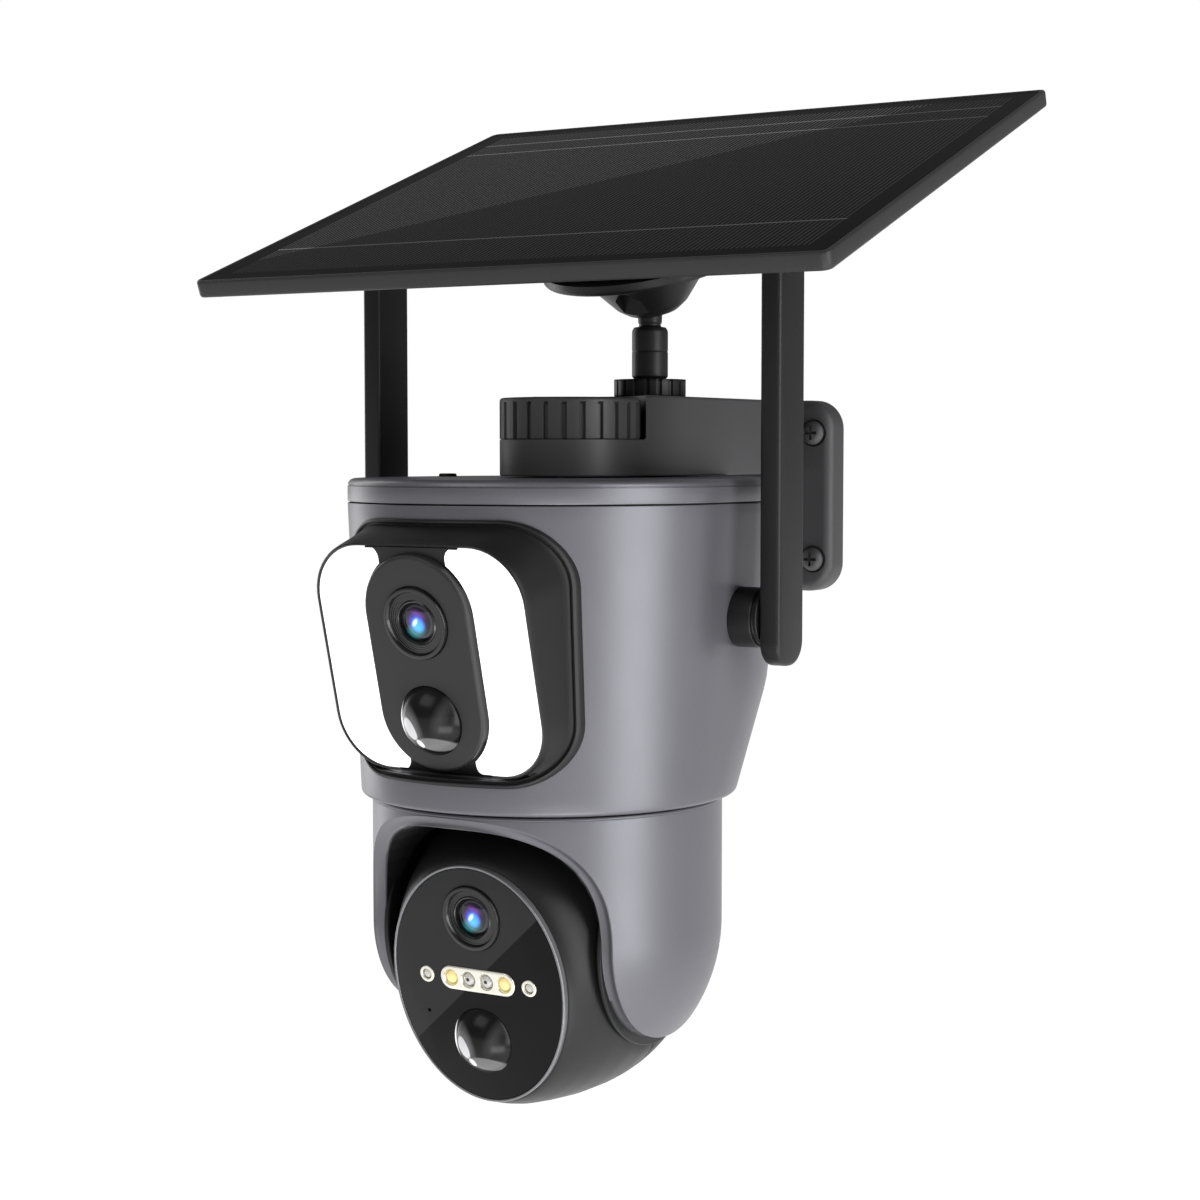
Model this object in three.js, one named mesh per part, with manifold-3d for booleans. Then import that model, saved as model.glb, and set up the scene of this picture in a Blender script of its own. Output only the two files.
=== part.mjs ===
// Solar-powered security camera: wall bracket, two-lens camera body with a pan and tilt head, two
// hinged antennas and a solar panel on a ball joint. Millimetres, +Z up, +Y into the wall.
// Pieces are drawn round the vertical pan axis, with z = 0 at the bottom rim of the upper housing,
// and the whole group is then moved so that its origin is the centre of the wall plate's back face.
import * as THREE from "three";
import { mergeVertices } from "three/addons/utils/BufferGeometryUtils.js";
import Module from "manifold-3d";

const wasm = await Module();
wasm.setup();

// ---------- driving dimensions ----------
const GAP = 0.3;                 // between touching pieces
const WALL_Y = 113;              // pan axis to the wall
const PLATE_Z = 70.6;            // height of the wall plate's centre
const PLATE_HALF = { x: 25.6, z: 26.7 };
const PLATE_THICK = 8;
const PLATE_CORNER = 8;
const SCREW_AT = { x: 20, z: 17.6 };
const ARM = { half: 17.5, bottom: 76.9, top: 97.0, seat: 85.9, taperY: 80, endHalf: 15 };
const KNOB = { y: 10.4, r: 17.5, wall: 19, top: 95, flutes: 24 };
const STUD_R = 3;

const BODY = { rBottom: 45.66, rTop: 48.6, top: 70.75, back: 15.5, backBottom: 1.4, backRise: 27 };
const BODY_WALL = 2.6;
const COVER = { bottom: 71.05, top: 76.6 };
const FORK_POCKET = { r: 39, top: 6.4 };
const FLOOR_TOP = 9.5;

const ANTENNA = { x: 58.3, y: 12, z: 43.6, thick: 5.3, width: 13, bottom: 32.4, top: 127 };
const HUB_R = 7.2;

const LAMP = { y: -54.12, z: 44.39, tilt: 14.2, half: 29.4, up: 18.1, down: 37.8, corner: 14 };
const LAMP_FOOT = { half: 32.4, top: 67, bottom: 9.6, y: -31, corner: 15 };
const LAMP_FLOOR = -8.8;
const PILL = { half: 14.3, v: -10.1, halfHigh: 25.9 };
const LENS_R = 8.6;
const LAMP_PIR_V = -23.4;
const LAMP_PIR_R = 8.3;

const FORK = { r: 43, skin: 2.9, sphereZ: -31.5, top: -0.6 };
const ARCH = { outer: 34.6, outerTop: -1.4, inner: 30.9, innerTop: -4.1, spring: -34, power: 2.8 };
const REAR_ARCH_TOP = -38;
const TILT_Z = -37.4;
const HOLLOW_R = 40.2;
const HEAD = { r: 37.7, flat: 29.5, wall: 2.4, split: 2, lean: 8.7, faceW: 30.35 };
const FACE = { half: 24.4, up: 28.5, down: 30.4 };
const HEAD_LENS_V = 15.6;
const HEAD_PIR_V = -15;

const BALL = { y: 49.2, z: 125, r: 6 };
const PANEL = { half: 86.3, slope: 75.1, thick: 4.4, top: 29.1, x: 0.8, y: -1, tilt: 20.78, yaw: 2.13 };

// ---------- finishes ----------
const finish = (color, roughness, metalness = 0) => ({ color, roughness, metalness });
const GREY = finish(0x66666c, 0.42, 0.35);
const DARK_GREY = finish(0x434345, 0.6);
const BLACK = finish(0x202022, 0.55);
const RUBBER = finish(0x151515, 0.85);
const STEEL = finish(0xa8aaac, 0.3, 1);
const GLASS = finish(0x0a0b0d, 0.06);
const LENS = finish(0x18264a, 0.04);
const DIFFUSER = finish(0xf8f8f6, 0.5);
const BOARD = finish(0x1d5a38, 0.6);
const CELL = finish(0x08080c, 0.3);
const WRAP = finish(0x2f6fb0, 0.5);
const RIM = finish(0x9a9a9c, 0.35, 0.2);
const CLEAR = finish(0xe8e6dc, 0.1);

// ---------- geometry helpers ----------
const radians = THREE.MathUtils.degToRad;

function toSolid(geometry) {
  const bare = geometry.clone();
  bare.deleteAttribute("normal");
  bare.deleteAttribute("uv");
  const merged = mergeVertices(bare, 1e-4);
  const position = merged.attributes.position.array;
  const corner = (i) => new THREE.Vector3().fromArray(position, 3 * i);
  const triangles = [];
  let volume = 0;
  for (let i = 0; i < merged.index.count; i += 3) {
    const [a, b, c] = merged.index.array.slice(i, i + 3);
    if (a === b || b === c || c === a) continue;
    triangles.push(a, b, c);
    volume += corner(a).dot(corner(b).cross(corner(c)));
  }
  if (volume < 0) triangles.reverse();
  return new wasm.Manifold(new wasm.Mesh({
    numProp: 3, vertProperties: Float32Array.from(position), triVerts: Uint32Array.from(triangles),
  }));
}

function toGeometry(solid) {
  const mesh = solid.getMesh();
  const geometry = new THREE.BufferGeometry();
  geometry.setAttribute("position", new THREE.BufferAttribute(mesh.vertProperties, 3));
  geometry.setIndex(new THREE.BufferAttribute(mesh.triVerts, 1));
  return geometry;
}

const fold = (method) => (base, ...others) =>
  toGeometry(others.reduce((solid, other) => solid[method](toSolid(other)), toSolid(base)));
const join = fold("add");
const cut = fold("subtract");
const common = fold("intersect");

function box(x, y, z) {
  const geometry = new THREE.BoxGeometry(x[1] - x[0], y[1] - y[0], z[1] - z[0]);
  return geometry.translate((x[0] + x[1]) / 2, (y[0] + y[1]) / 2, (z[0] + z[1]) / 2);
}

// A body of revolution about Z from [radius, height] points, wound so that its faces point out.
function turned(profile, segments = 24) {
  const points = profile.map(([r, h]) => new THREE.Vector2(r, h));
  if (THREE.ShapeUtils.area(points) < 0) points.reverse();
  return new THREE.LatheGeometry(points, segments).rotateX(Math.PI / 2);
}

const rod = (r, z0, z1, segments = 16) => turned([[0, z0], [r, z0], [r, z1], [0, z1]], segments);
const ring = (r0, r1, z0, z1, segments = 20) =>
  turned([[r0, z0], [r1, z0], [r1, z1], [r0, z1], [r0, z0]], segments);

// A shallow dome of base radius r and height h standing on z0, with a flange down to z1.
function dome(r, h, z0, z1, segments = 16) {
  const sphere = (r * r + h * h) / (2 * h);
  const profile = [[0, z1], [r, z1]];
  for (let i = 0; i <= 3; i += 1) {
    const angle = Math.asin(r / sphere) * (1 - i / 3);
    profile.push([sphere * Math.sin(angle), z0 + h - sphere * (1 - Math.cos(angle))]);
  }
  return turned(profile, segments);
}

function outline(points) {
  return new THREE.Shape(points.map(([x, y]) => new THREE.Vector2(x, y)));
}

// A flat shape in XY, standing from z0 to z1, with an optional chamfer on both faces.
function slab(shape, z0, z1, chamfer = 0, curveSegments = 3) {
  const settings = { depth: z1 - z0 - 2 * chamfer, bevelEnabled: chamfer > 0, curveSegments };
  Object.assign(settings, { bevelThickness: chamfer, bevelSize: chamfer, bevelOffset: -chamfer });
  settings.bevelSegments = 1;
  return new THREE.ExtrudeGeometry(shape, settings).translate(0, 0, z0 + chamfer);
}

// Points of a rounded rectangle, with the same number on every corner.
function roundedPoints(x0, x1, y0, y1, r, steps = 3) {
  const corners = [[x1 - r, y0 + r, -90], [x1 - r, y1 - r, 0], [x0 + r, y1 - r, 90], [x0 + r, y0 + r, 180]];
  return corners.flatMap(([x, y, start]) => Array.from({ length: steps + 1 }, (_, i) => {
    const angle = radians(start + (90 * i) / steps);
    return [x + r * Math.cos(angle), y + r * Math.sin(angle)];
  }));
}

const roundedRectangle = (...size) => outline(roundedPoints(...size));

// Closed solid through rings of equally many [x, y, z] points, capped at both ends.
function loft(rings) {
  const count = rings[0].length;
  const middle = (points) => [0, 1, 2].map((k) => points.reduce((sum, p) => sum + p[k], 0) / count);
  const vertices = [...rings.flat(), middle(rings[0]), middle(rings[rings.length - 1])];
  const first = rings.length * count;
  const index = [];
  for (let i = 0; i < count; i += 1) {
    const j = (i + 1) % count;
    for (let k = 0; k < rings.length - 1; k += 1) {
      const [a, b] = [k * count + i, k * count + j];
      index.push(a, b, b + count, a, b + count, a + count);
    }
    const last = (rings.length - 1) * count;
    index.push(first, j, i, first + 1, last + i, last + j);
  }
  const geometry = new THREE.BufferGeometry();
  geometry.setAttribute("position", new THREE.Float32BufferAttribute(vertices.flat(), 3));
  geometry.setIndex(index);
  return geometry;
}

const alongX = (geometry) => geometry.rotateY(Math.PI / 2);
const alongY = (geometry) => geometry.rotateX(-Math.PI / 2);

// ---------- groups ----------
const camera = new THREE.Group();
camera.position.set(0, -WALL_Y, -PLATE_Z);

function group(parent, position, turn = [0, 0, 0]) {
  const child = new THREE.Group();
  child.position.set(...position);
  child.rotation.set(...turn.map(radians), "ZYX");
  parent.add(child);
  return child;
}

function piece(parent, name, geometry, { color, roughness, metalness }) {
  const mesh = new THREE.Mesh(geometry, new THREE.MeshStandardMaterial({ color, roughness, metalness }));
  mesh.name = name;
  parent.add(mesh);
}

// Faces whose local x is the object's X, local y runs up the face and local z points out of it.
const lampFace = group(camera, [0, LAMP.y, LAMP.z], [90 + LAMP.tilt, 0, 0]);
const headFace = group(camera, [0, 0, TILT_Z], [90 + HEAD.lean, 0, 0]);
const panelHead = group(camera, [0, BALL.y, BALL.z], [PANEL.tilt, 0, PANEL.yaw]);

// ---------- wall bracket ----------
function wallBracket() {
  const front = WALL_Y - PLATE_THICK;
  const plateShape = roundedRectangle(-PLATE_HALF.x, PLATE_HALF.x, -PLATE_HALF.z, PLATE_HALF.z, PLATE_CORNER);
  const plate = slab(plateShape, 0, PLATE_THICK).rotateX(Math.PI / 2).translate(0, WALL_Y, PLATE_Z);
  const arm = new THREE.Shape();
  arm.moveTo(-ARM.half, KNOB.y).absarc(0, KNOB.y, ARM.half, Math.PI, 2 * Math.PI);
  arm.lineTo(ARM.half, ARM.taperY).lineTo(ARM.endHalf, front + 1);
  arm.lineTo(-ARM.endHalf, front + 1).lineTo(-ARM.half, ARM.taperY);
  const beam = slab(arm, ARM.bottom, ARM.top, 0.8, 12);
  const knobRoom = rod(KNOB.wall, ARM.seat, ARM.top + 1, 36).translate(0, KNOB.y, 0);
  const studHole = rod(STUD_R + GAP, ARM.bottom - 1, ARM.seat + 1).translate(0, KNOB.y, 0);
  const washerSeat = rod(12.3, ARM.bottom - 1, ARM.bottom + 1.7).translate(0, KNOB.y, 0);
  const stemHole = rod(3.3, ARM.top - 9, ARM.top + 1).translate(0, BALL.y, 0);
  const screwHoles = screwPlaces().map(([x, z]) => alongY(rod(2.3, -1, PLATE_THICK + 1, 14)).translate(x, front, z));
  const body = join(cut(beam, knobRoom), plate);
  piece(camera, "wall_bracket", cut(body, studHole, washerSeat, stemHole, ...screwHoles), DARK_GREY);
}

function screwPlaces() {
  const { x, z } = SCREW_AT;
  return [[-x, PLATE_Z + z], [x, PLATE_Z + z], [-x, PLATE_Z - z], [x, PLATE_Z - z]];
}

function wallScrews() {
  const shank = PLATE_THICK - 2 * GAP;
  screwPlaces().forEach(([x, z], i) => {
    const screw = turned([[0, -2.2], [1.6, -2.1], [2.7, -1.5], [3.2, -0.4], [3.2, 0], [2, 0], [2, shank], [0, shank]], 14);
    const placed = alongY(screw).translate(x, WALL_Y - PLATE_THICK - GAP, z);
    piece(camera, `wall_screw_${i + 1}`, placed, STEEL);
  });
}

function clampPieces() {
  const stud = join(rod(STUD_R, 70.5, 93.5), ring(STUD_R - 1, 7, 70.2, 73, 6));
  piece(camera, "hanger_stud", stud.translate(0, KNOB.y, 0), STEEL);
  const washer = ring(STUD_R + 0.6, 12, COVER.top + GAP, ARM.bottom + 1.4).translate(0, KNOB.y, 0);
  piece(camera, "hanger_washer", washer, RUBBER);
  const knob = slab(fluted(KNOB.r, 0.9, KNOB.flutes), ARM.seat + GAP, KNOB.top);
  const hole = rod(STUD_R + GAP, ARM.seat, 93.8);
  piece(camera, "clamp_knob", cut(knob, hole).translate(0, KNOB.y, 0), DARK_GREY);
  const lock = cut(slab(fluted(9.4, 0.6, 16), ARM.top + GAP, 101.8), rod(3.5, ARM.top, 103));
  piece(camera, "stem_lock_ring", lock.translate(0, BALL.y, 0), BLACK);
}

// A round outline with evenly spaced grip grooves of the given depth.
function fluted(r, depth, count) {
  const points = [];
  for (let i = 0; i < count; i += 1) {
    for (const [turn, fall] of [[0, 0], [0.55, 0], [0.7, depth], [0.85, depth]]) {
      const angle = ((i + turn) / count) * 2 * Math.PI;
      points.push([(r - fall) * Math.cos(angle), (r - fall) * Math.sin(angle)]);
    }
  }
  return outline(points);
}

// ---------- upper housing ----------
function bodyBack(z) {
  const rise = Math.min(Math.max(z / BODY.backRise, 0), 1);
  return BODY.backBottom + (BODY.back - BODY.backBottom) * rise;
}

const bodyRadius = (z) => BODY.rBottom + (BODY.rTop - BODY.rBottom) * (z / BODY.top);

// Plan outline at height z: a half circle in front, a half circle moved back behind.
function bodyRing(z, inset, back = bodyBack(z), segments = 36) {
  const r = bodyRadius(z) - inset;
  const ringPoints = [];
  for (let i = 0; i < segments; i += 1) {
    const angle = (i / segments) * 2 * Math.PI + 1e-3;
    const y = r * Math.sin(angle);
    ringPoints.push([r * Math.cos(angle), y > 0 ? y + back : y, z]);
  }
  return ringPoints;
}

function bodySolid(inset, z0, z1, rimRound = 0) {
  const heights = [BODY.backRise].filter((z) => z > z0 + 2 && z < z1 - 2);
  const rings = [z0, ...heights, z1].map((z) => bodyRing(z, inset));
  if (rimRound > 0) {
    rings[0] = bodyRing(z0, inset + rimRound);
    rings.splice(1, 0, bodyRing(z0 + rimRound, inset));
  }
  return loft(rings);
}

function upperHousing() {
  const outer = bodySolid(0, 0, BODY.top, 1.2);
  const cavity = bodySolid(BODY_WALL, FLOOR_TOP, 66.5);
  const mouth = bodySolid(4.4, 66, BODY.top + 1);
  const forkPocket = rod(FORK_POCKET.r, -1, FORK_POCKET.top, 36);
  const shaftHole = rod(4, FORK_POCKET.top - 1, FLOOR_TOP + 1);
  const lampWindow = lampForm(GAP, [[0.4, 8], [0, -4.2]], LAMP_FOOT.y + GAP);
  const hubHoles = alongX(rod(3.6, -70, 70)).translate(0, ANTENNA.y, ANTENNA.z);
  const portPad = box([-12, 12], [50, 64.2], [36, 54]);
  const portHoles = [box([-8, 2], [45, 70], [41, 49]), box([5.4, 7.6], [45, 70], [39, 51])];
  const buttonWell = rod(3, 60, 72).translate(-38.6, 12.1, 0);
  const shell = join(cut(outer, cavity, mouth), cut(portPad, bodySolid(BODY_WALL, FLOOR_TOP, 66.5)));
  const gasketGroove = cut(bodySolid(0.9, 69.6, BODY.top + 1), bodySolid(2.5, 69, BODY.top + 2));
  const pieces = [forkPocket, shaftHole, lampWindow, hubHoles, ...portHoles, buttonWell, gasketGroove];
  piece(camera, "upper_housing", cut(shell, ...pieces), GREY);
  const gasket = cut(bodySolid(1.2, 69.9, 70.85), bodySolid(2.2, 69, 72));
  piece(camera, "cover_gasket", gasket, RUBBER);
}

function topCover() {
  const levels = [[COVER.bottom, 0], [75.2, 0], [76.1, 0.5], [COVER.top, 1.9]];
  const cap = loft(levels.map(([z, inset]) => bodyRing(BODY.top, inset, BODY.back).map(([x, y]) => [x, y, z])));
  const inside = loft([70, 73.3].map((z) => bodyRing(BODY.top, 4.6, BODY.back).map(([x, y]) => [x, y, z])));
  const studHole = rod(STUD_R + GAP, 70, 78).translate(0, KNOB.y, 0);
  const buttonHole = rod(2.6, 70, 78).translate(-38.6, 12.1, 0);
  piece(camera, "top_cover", cut(cap, inside, studHole, buttonHole), GREY);
  const button = turned([[0, 71.8], [2.3, 71.8], [2.3, 77], [1.8, 77.4], [0, 77.4]], 14);
  piece(camera, "reset_button", button.translate(-38.6, 12.1, 0), BLACK);
}

function insidePieces() {
  piece(camera, "main_board", box([-29, 29], [16, 17.6], [12, 64]), BOARD);
  for (const [name, x] of [["battery_cell_left", -10.4], ["battery_cell_right", 10.4]]) {
    piece(camera, name, turned([[0, 10.2], [9.1, 10.2], [9.1, 72.5 - 8], [3, 72.5 - 8], [3, 65.6], [0, 65.6]], 24)
      .translate(x, 38, 0), WRAP);
  }
  const motorCan = rod(14, FLOOR_TOP + GAP, 29).translate(0, -8, 0);
  piece(camera, "pan_motor", cut(motorCan, rod(2.9, 8, 14)), STEEL);
  const speaker = alongX(turned([[0, -38], [12, -38], [12, -35.5], [7, -32], [0, -32]], 24));
  piece(camera, "speaker", speaker.translate(0, -6, 24), BLACK);
  const socket = box([-7.6, 1.6], [50.5, 63.5], [41.4, 48.6]);
  piece(camera, "charge_socket", cut(socket, box([-7.1, 1.1], [56, 66], [43.7, 46.3])), STEEL);
  const flap = slab(roundedRectangle(-10.6, 10.6, 37.4, 52.6, 3), 0, 1.6);
  const tab = slab(roundedRectangle(-3, 3, 34.8, 38.4, 1.2), 0, 1.6);
  const placedFlap = join(flap, tab).rotateX(Math.PI / 2).translate(0, 66.1, 0);
  piece(camera, "port_flap", placedFlap, RUBBER);
}

// ---------- antennas ----------
function antennas() {
  for (const [side, s] of [["left", -1], ["right", 1]]) {
    const inner = ANTENNA.x - ANTENNA.thick / 2;
    const wall = bodyRadius(ANTENNA.z) + GAP;
    const hub = turned([[0, 41], [3.2, 41], [3.2, wall], [HUB_R, wall], [HUB_R, inner - 1.3],
      [HUB_R - 1, inner - GAP], [3, inner - GAP], [3, inner + 2], [0, inner + 2]], 20);
    const placedHub = alongX(hub).rotateZ(s < 0 ? Math.PI : 0).translate(0, ANTENNA.y, ANTENNA.z);
    piece(camera, `antenna_hub_${side}`, placedHub, BLACK);
    const half = ANTENNA.width / 2;
    const shape = roundedRectangle(-ANTENNA.top, -ANTENNA.bottom, -half, half, 1.5);
    const foot = roundedRectangle(-60, -ANTENNA.bottom, -half, half, 6);
    const blade = slab(shape, inner, inner + ANTENNA.thick, 0.9, 4);
    const rounded = cut(blade, cut(slab(roundedRectangle(-50, 0, -20, 20, 1), 0, 90), slab(foot, -1, 91)));
    const bladeHole = rod(3.3, inner - 1, inner + 2.4).translate(-ANTENNA.z, 0, 0);
    const antenna = alongX(cut(rounded, bladeHole)).rotateZ(s < 0 ? Math.PI : 0).translate(0, ANTENNA.y, 0);
    piece(camera, `antenna_${side}`, antenna, BLACK);
  }
}

// ---------- floodlight and upper lens ----------
function lampPoints(inset) {
  const { half, up, down, corner } = LAMP;
  return roundedPoints(-half + inset, half - inset, -down + inset, up - inset, corner - inset);
}

const lampOutline = (inset) => outline(lampPoints(inset));

// A pill outline of half width r whose two round ends are centred at y0 and y1.
function pill(r, y0, y1) {
  const shape = new THREE.Shape();
  shape.absarc(0, y0, r, Math.PI, 2 * Math.PI).absarc(0, y1, r, 0, Math.PI);
  return shape;
}

const pillShape = (grow) => {
  const reach = PILL.halfHigh - PILL.half;
  return pill(PILL.half + grow, PILL.v - reach, PILL.v + reach);
};

const lampToBody = (geometry) => geometry.rotateX(radians(90 + LAMP.tilt)).translate(0, LAMP.y, LAMP.z);

// Outer form of the lamp from its rounded face back to a larger foot, grown by grow, from w0 back.
function lampForm(grow, levels, y = LAMP_FOOT.y) {
  const { half, top, bottom, corner } = LAMP_FOOT;
  const foot = roundedPoints(-half - grow, half + grow, bottom - grow, top + grow, corner + grow);
  const footRing = foot.map(([x, z]) => [x, y, z]);
  const faceRings = levels.map(([inset, w]) => lampRing(inset - grow, w));
  return loft([...faceRings, footRing]);
}

function lampRing(inset, w) {
  const axis = new THREE.Vector3(1, 0, 0);
  return lampPoints(inset).map(([x, y]) => {
    const v = new THREE.Vector3(x, y, w).applyAxisAngle(axis, radians(90 + LAMP.tilt));
    return [v.x, v.y + LAMP.y, v.z + LAMP.z];
  });
}


function lampHousing() {
  const form = lampForm(0, [[1.6, -2.2], [0.4, -2.8], [0, -4.2]]);
  const hollow = lampForm(-3.2, [[0, LAMP_FLOOR - 2.2]], LAMP_FOOT.y + 4);
  const seat = lampToBody(slab(lampOutline(1.5), LAMP_FLOOR, 2));
  const barrelHole = lampToBody(rod(LENS_R + GAP, -20, 2));
  piece(camera, "lamp_housing", cut(form, hollow, seat, barrelHole), BLACK);
}

function lampFront() {
  const strip = box([-10, 10], [-60, 40], [-10, 10]);
  const white = cut(slab(lampOutline(2.5), -5.4, -1.9, 0.4), slab(pillShape(0.9), -12, 12), strip);
  for (const [side, s] of [["left", -1], ["right", 1]]) {
    const half = box(s < 0 ? [-60, 0] : [0, 60], [-60, 40], [-10, 10]);
    piece(lampFace, `light_diffuser_${side}`, common(white, half), DIFFUSER);
  }
  const board = cut(slab(lampOutline(3), -8.2, -6.8), slab(pillShape(-2), -12, 0));
  piece(lampFace, "floodlight_led_board", board, BOARD);
  const plate = cut(slab(pillShape(0), -5.8, 0, 0.6, 7), rod(LENS_R + GAP, -12, 2),
    rod(LAMP_PIR_R + GAP, -12, 2).translate(0, LAMP_PIR_V, 0));
  piece(lampFace, "sensor_plate", plate, BLACK);
  piece(lampFace, "upper_lens_barrel", lensBarrel(LENS_R, 0.7, -13), BLACK);
  piece(lampFace, "upper_lens_glass", dome(5.2, 1.6, -4.6, -5.6), LENS);
  piece(lampFace, "upper_motion_sensor_dome", motionDome(LAMP_PIR_R, -5.8).translate(0, LAMP_PIR_V, 0), GLASS);
  piece(lampFace, "upper_camera_module", box([-10, 10], [-10, 10], [-21, -13.3]), BOARD);
}

// Lens barrel: a stepped cone that narrows to the front glass, open to the rear.
function lensBarrel(r, front, rear) {
  return turned([[5.6, rear], [r, rear], [r, front - 0.6], [r - 0.6, front], [r - 1.4, front],
    [6.6, front - 3], [5.6, front - 4.4], [5.6, rear]], 24);
}

const motionDome = (r, rear) => dome(r - 0.4, 4.6, 0.2, rear);

// ---------- fork ----------
// Round shell about the pan axis: a cylinder that ends in a hemisphere.
function forkRound(r, top) {
  const profile = [[0, top], [r, top]];
  for (let i = 0; i <= 9; i += 1) {
    const angle = (i / 9) * (Math.PI / 2);
    profile.push([r * Math.cos(angle), FORK.sphereZ - r * Math.sin(angle)]);
  }
  return turned(profile, 40);
}

// Arch prism along Y: a flattened round top on straight legs.
function archPrism(half, top, spring, y0, y1) {
  const points = [];
  for (let i = 0; i <= 20; i += 1) {
    const angle = Math.PI * (1 - i / 20);
    const power = 2 / ARCH.power;
    const x = half * Math.sign(Math.cos(angle)) * Math.abs(Math.cos(angle)) ** power;
    points.push([x, spring + (top - spring) * Math.sin(angle) ** power]);
  }
  points.push([half, -90], [-half, -90]);
  return slab(outline(points), -y1, -y0).rotateX(Math.PI / 2);
}

function fork() {
  const skin = cut(forkRound(FORK.r, FORK.top), forkRound(FORK.r - FORK.skin, FORK.top - FORK.skin));
  const roofHole = rod(38.3, -10, 10, 32);
  const front = archPrism(ARCH.outer, ARCH.outerTop, ARCH.spring, -60, 0);
  const rear = archPrism(ARCH.outer, REAR_ARCH_TOP, REAR_ARCH_TOP - 20, -1, 60);
  piece(camera, "fork_shell", cut(skin, roofHole, front, rear), GREY);
  const innerR = FORK.r - FORK.skin - GAP;
  const block = join(forkRound(innerR, FORK.top - FORK.skin - GAP), rod(38, -5, 5, 32));
  const sphere = turned(arcProfile(HOLLOW_R, 10), 28).translate(0, 0, TILT_Z);
  const hollow = common(sphere, box([-ARCH.inner, ARCH.inner], [-60, 60], [-100, 20]));
  const frontInner = archPrism(ARCH.inner, ARCH.innerTop, ARCH.spring, -60, 0);
  const rearInner = archPrism(ARCH.inner, REAR_ARCH_TOP - 2, REAR_ARCH_TOP - 20, -1, 60);
  const lobeTrim = cut(box([-60, 60], [-60, 60], [-100, TILT_Z]), alongX(rod(24, -60, 60, 32)).translate(0, 0, TILT_Z));
  const shaftHole = rod(2.9, 0, 8);
  const pivotHoles = [alongX(rod(3.4, -37.5, -28)), alongX(rod(6.4, 28, 35))];
  const holes = pivotHoles.map((hole) => hole.translate(0, 0, TILT_Z));
  piece(camera, "fork_frame", cut(block, hollow, frontInner, rearInner, lobeTrim, shaftHole, ...holes), BLACK);
  piece(camera, "pan_shaft", rod(2.5, 3.2, 13.5, 20), STEEL);
  piece(camera, "pan_bearing", ring(26, 33, 5.3, 6.1), STEEL);
  const shaft = alongX(rod(3, -37, -23, 20)).translate(0, 0, TILT_Z);
  piece(camera, "tilt_shaft", shaft, STEEL);
  const bush = alongX(ring(3.6, 6, 24.5, 34.5, 24)).translate(0, 0, TILT_Z);
  piece(camera, "tilt_bush", bush, STEEL);
}

// Half circle from the bottom pole to the top pole.
function arcProfile(r, steps) {
  const profile = [];
  for (let i = 0; i <= steps; i += 1) {
    const angle = -Math.PI / 2 + (i / steps) * Math.PI;
    profile.push([Math.max(r * Math.cos(angle), 0), r * Math.sin(angle)]);
  }
  return profile;
}

// ---------- pan and tilt head ----------
// Egg outline of the face: narrower below than above, grown or scaled as needed.
function eggRing(half, up, down, z, segments = 28) {
  const points = [];
  for (let i = 0; i < segments; i += 1) {
    const angle = (i / segments) * 2 * Math.PI;
    const rise = Math.sin(angle) > 0 ? up : down;
    points.push([half * Math.cos(angle), rise * Math.sin(angle), z]);
  }
  return points;
}

const eggShape = (inset) =>
  outline(eggRing(FACE.half - inset, FACE.up - inset, FACE.down - inset, 0).map(([x, y]) => [x, y]));

function headSolid(inset) {
  const sections = [
    [HEAD.faceW - 1.4 - inset, FACE.half + 0.5, FACE.up + 0.4, FACE.down + 0.4],
    [26, 27.4, 31.1, 32.8], [18, 31.8, 34.4, 35.4], [6, 37, 37.3, 37.4],
  ];
  const nose = loft(sections.map(([w, a, up, down]) => eggRing(a - inset, up - inset, down - inset, w)));
  const ball = turned(arcProfile(HEAD.r - inset, 10), 28);
  const flats = box([-HEAD.flat + inset, HEAD.flat - inset], [-60, 60], [-60, HEAD.faceW - 1.4 - inset]);
  return common(join(ball, nose), flats);
}

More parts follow.
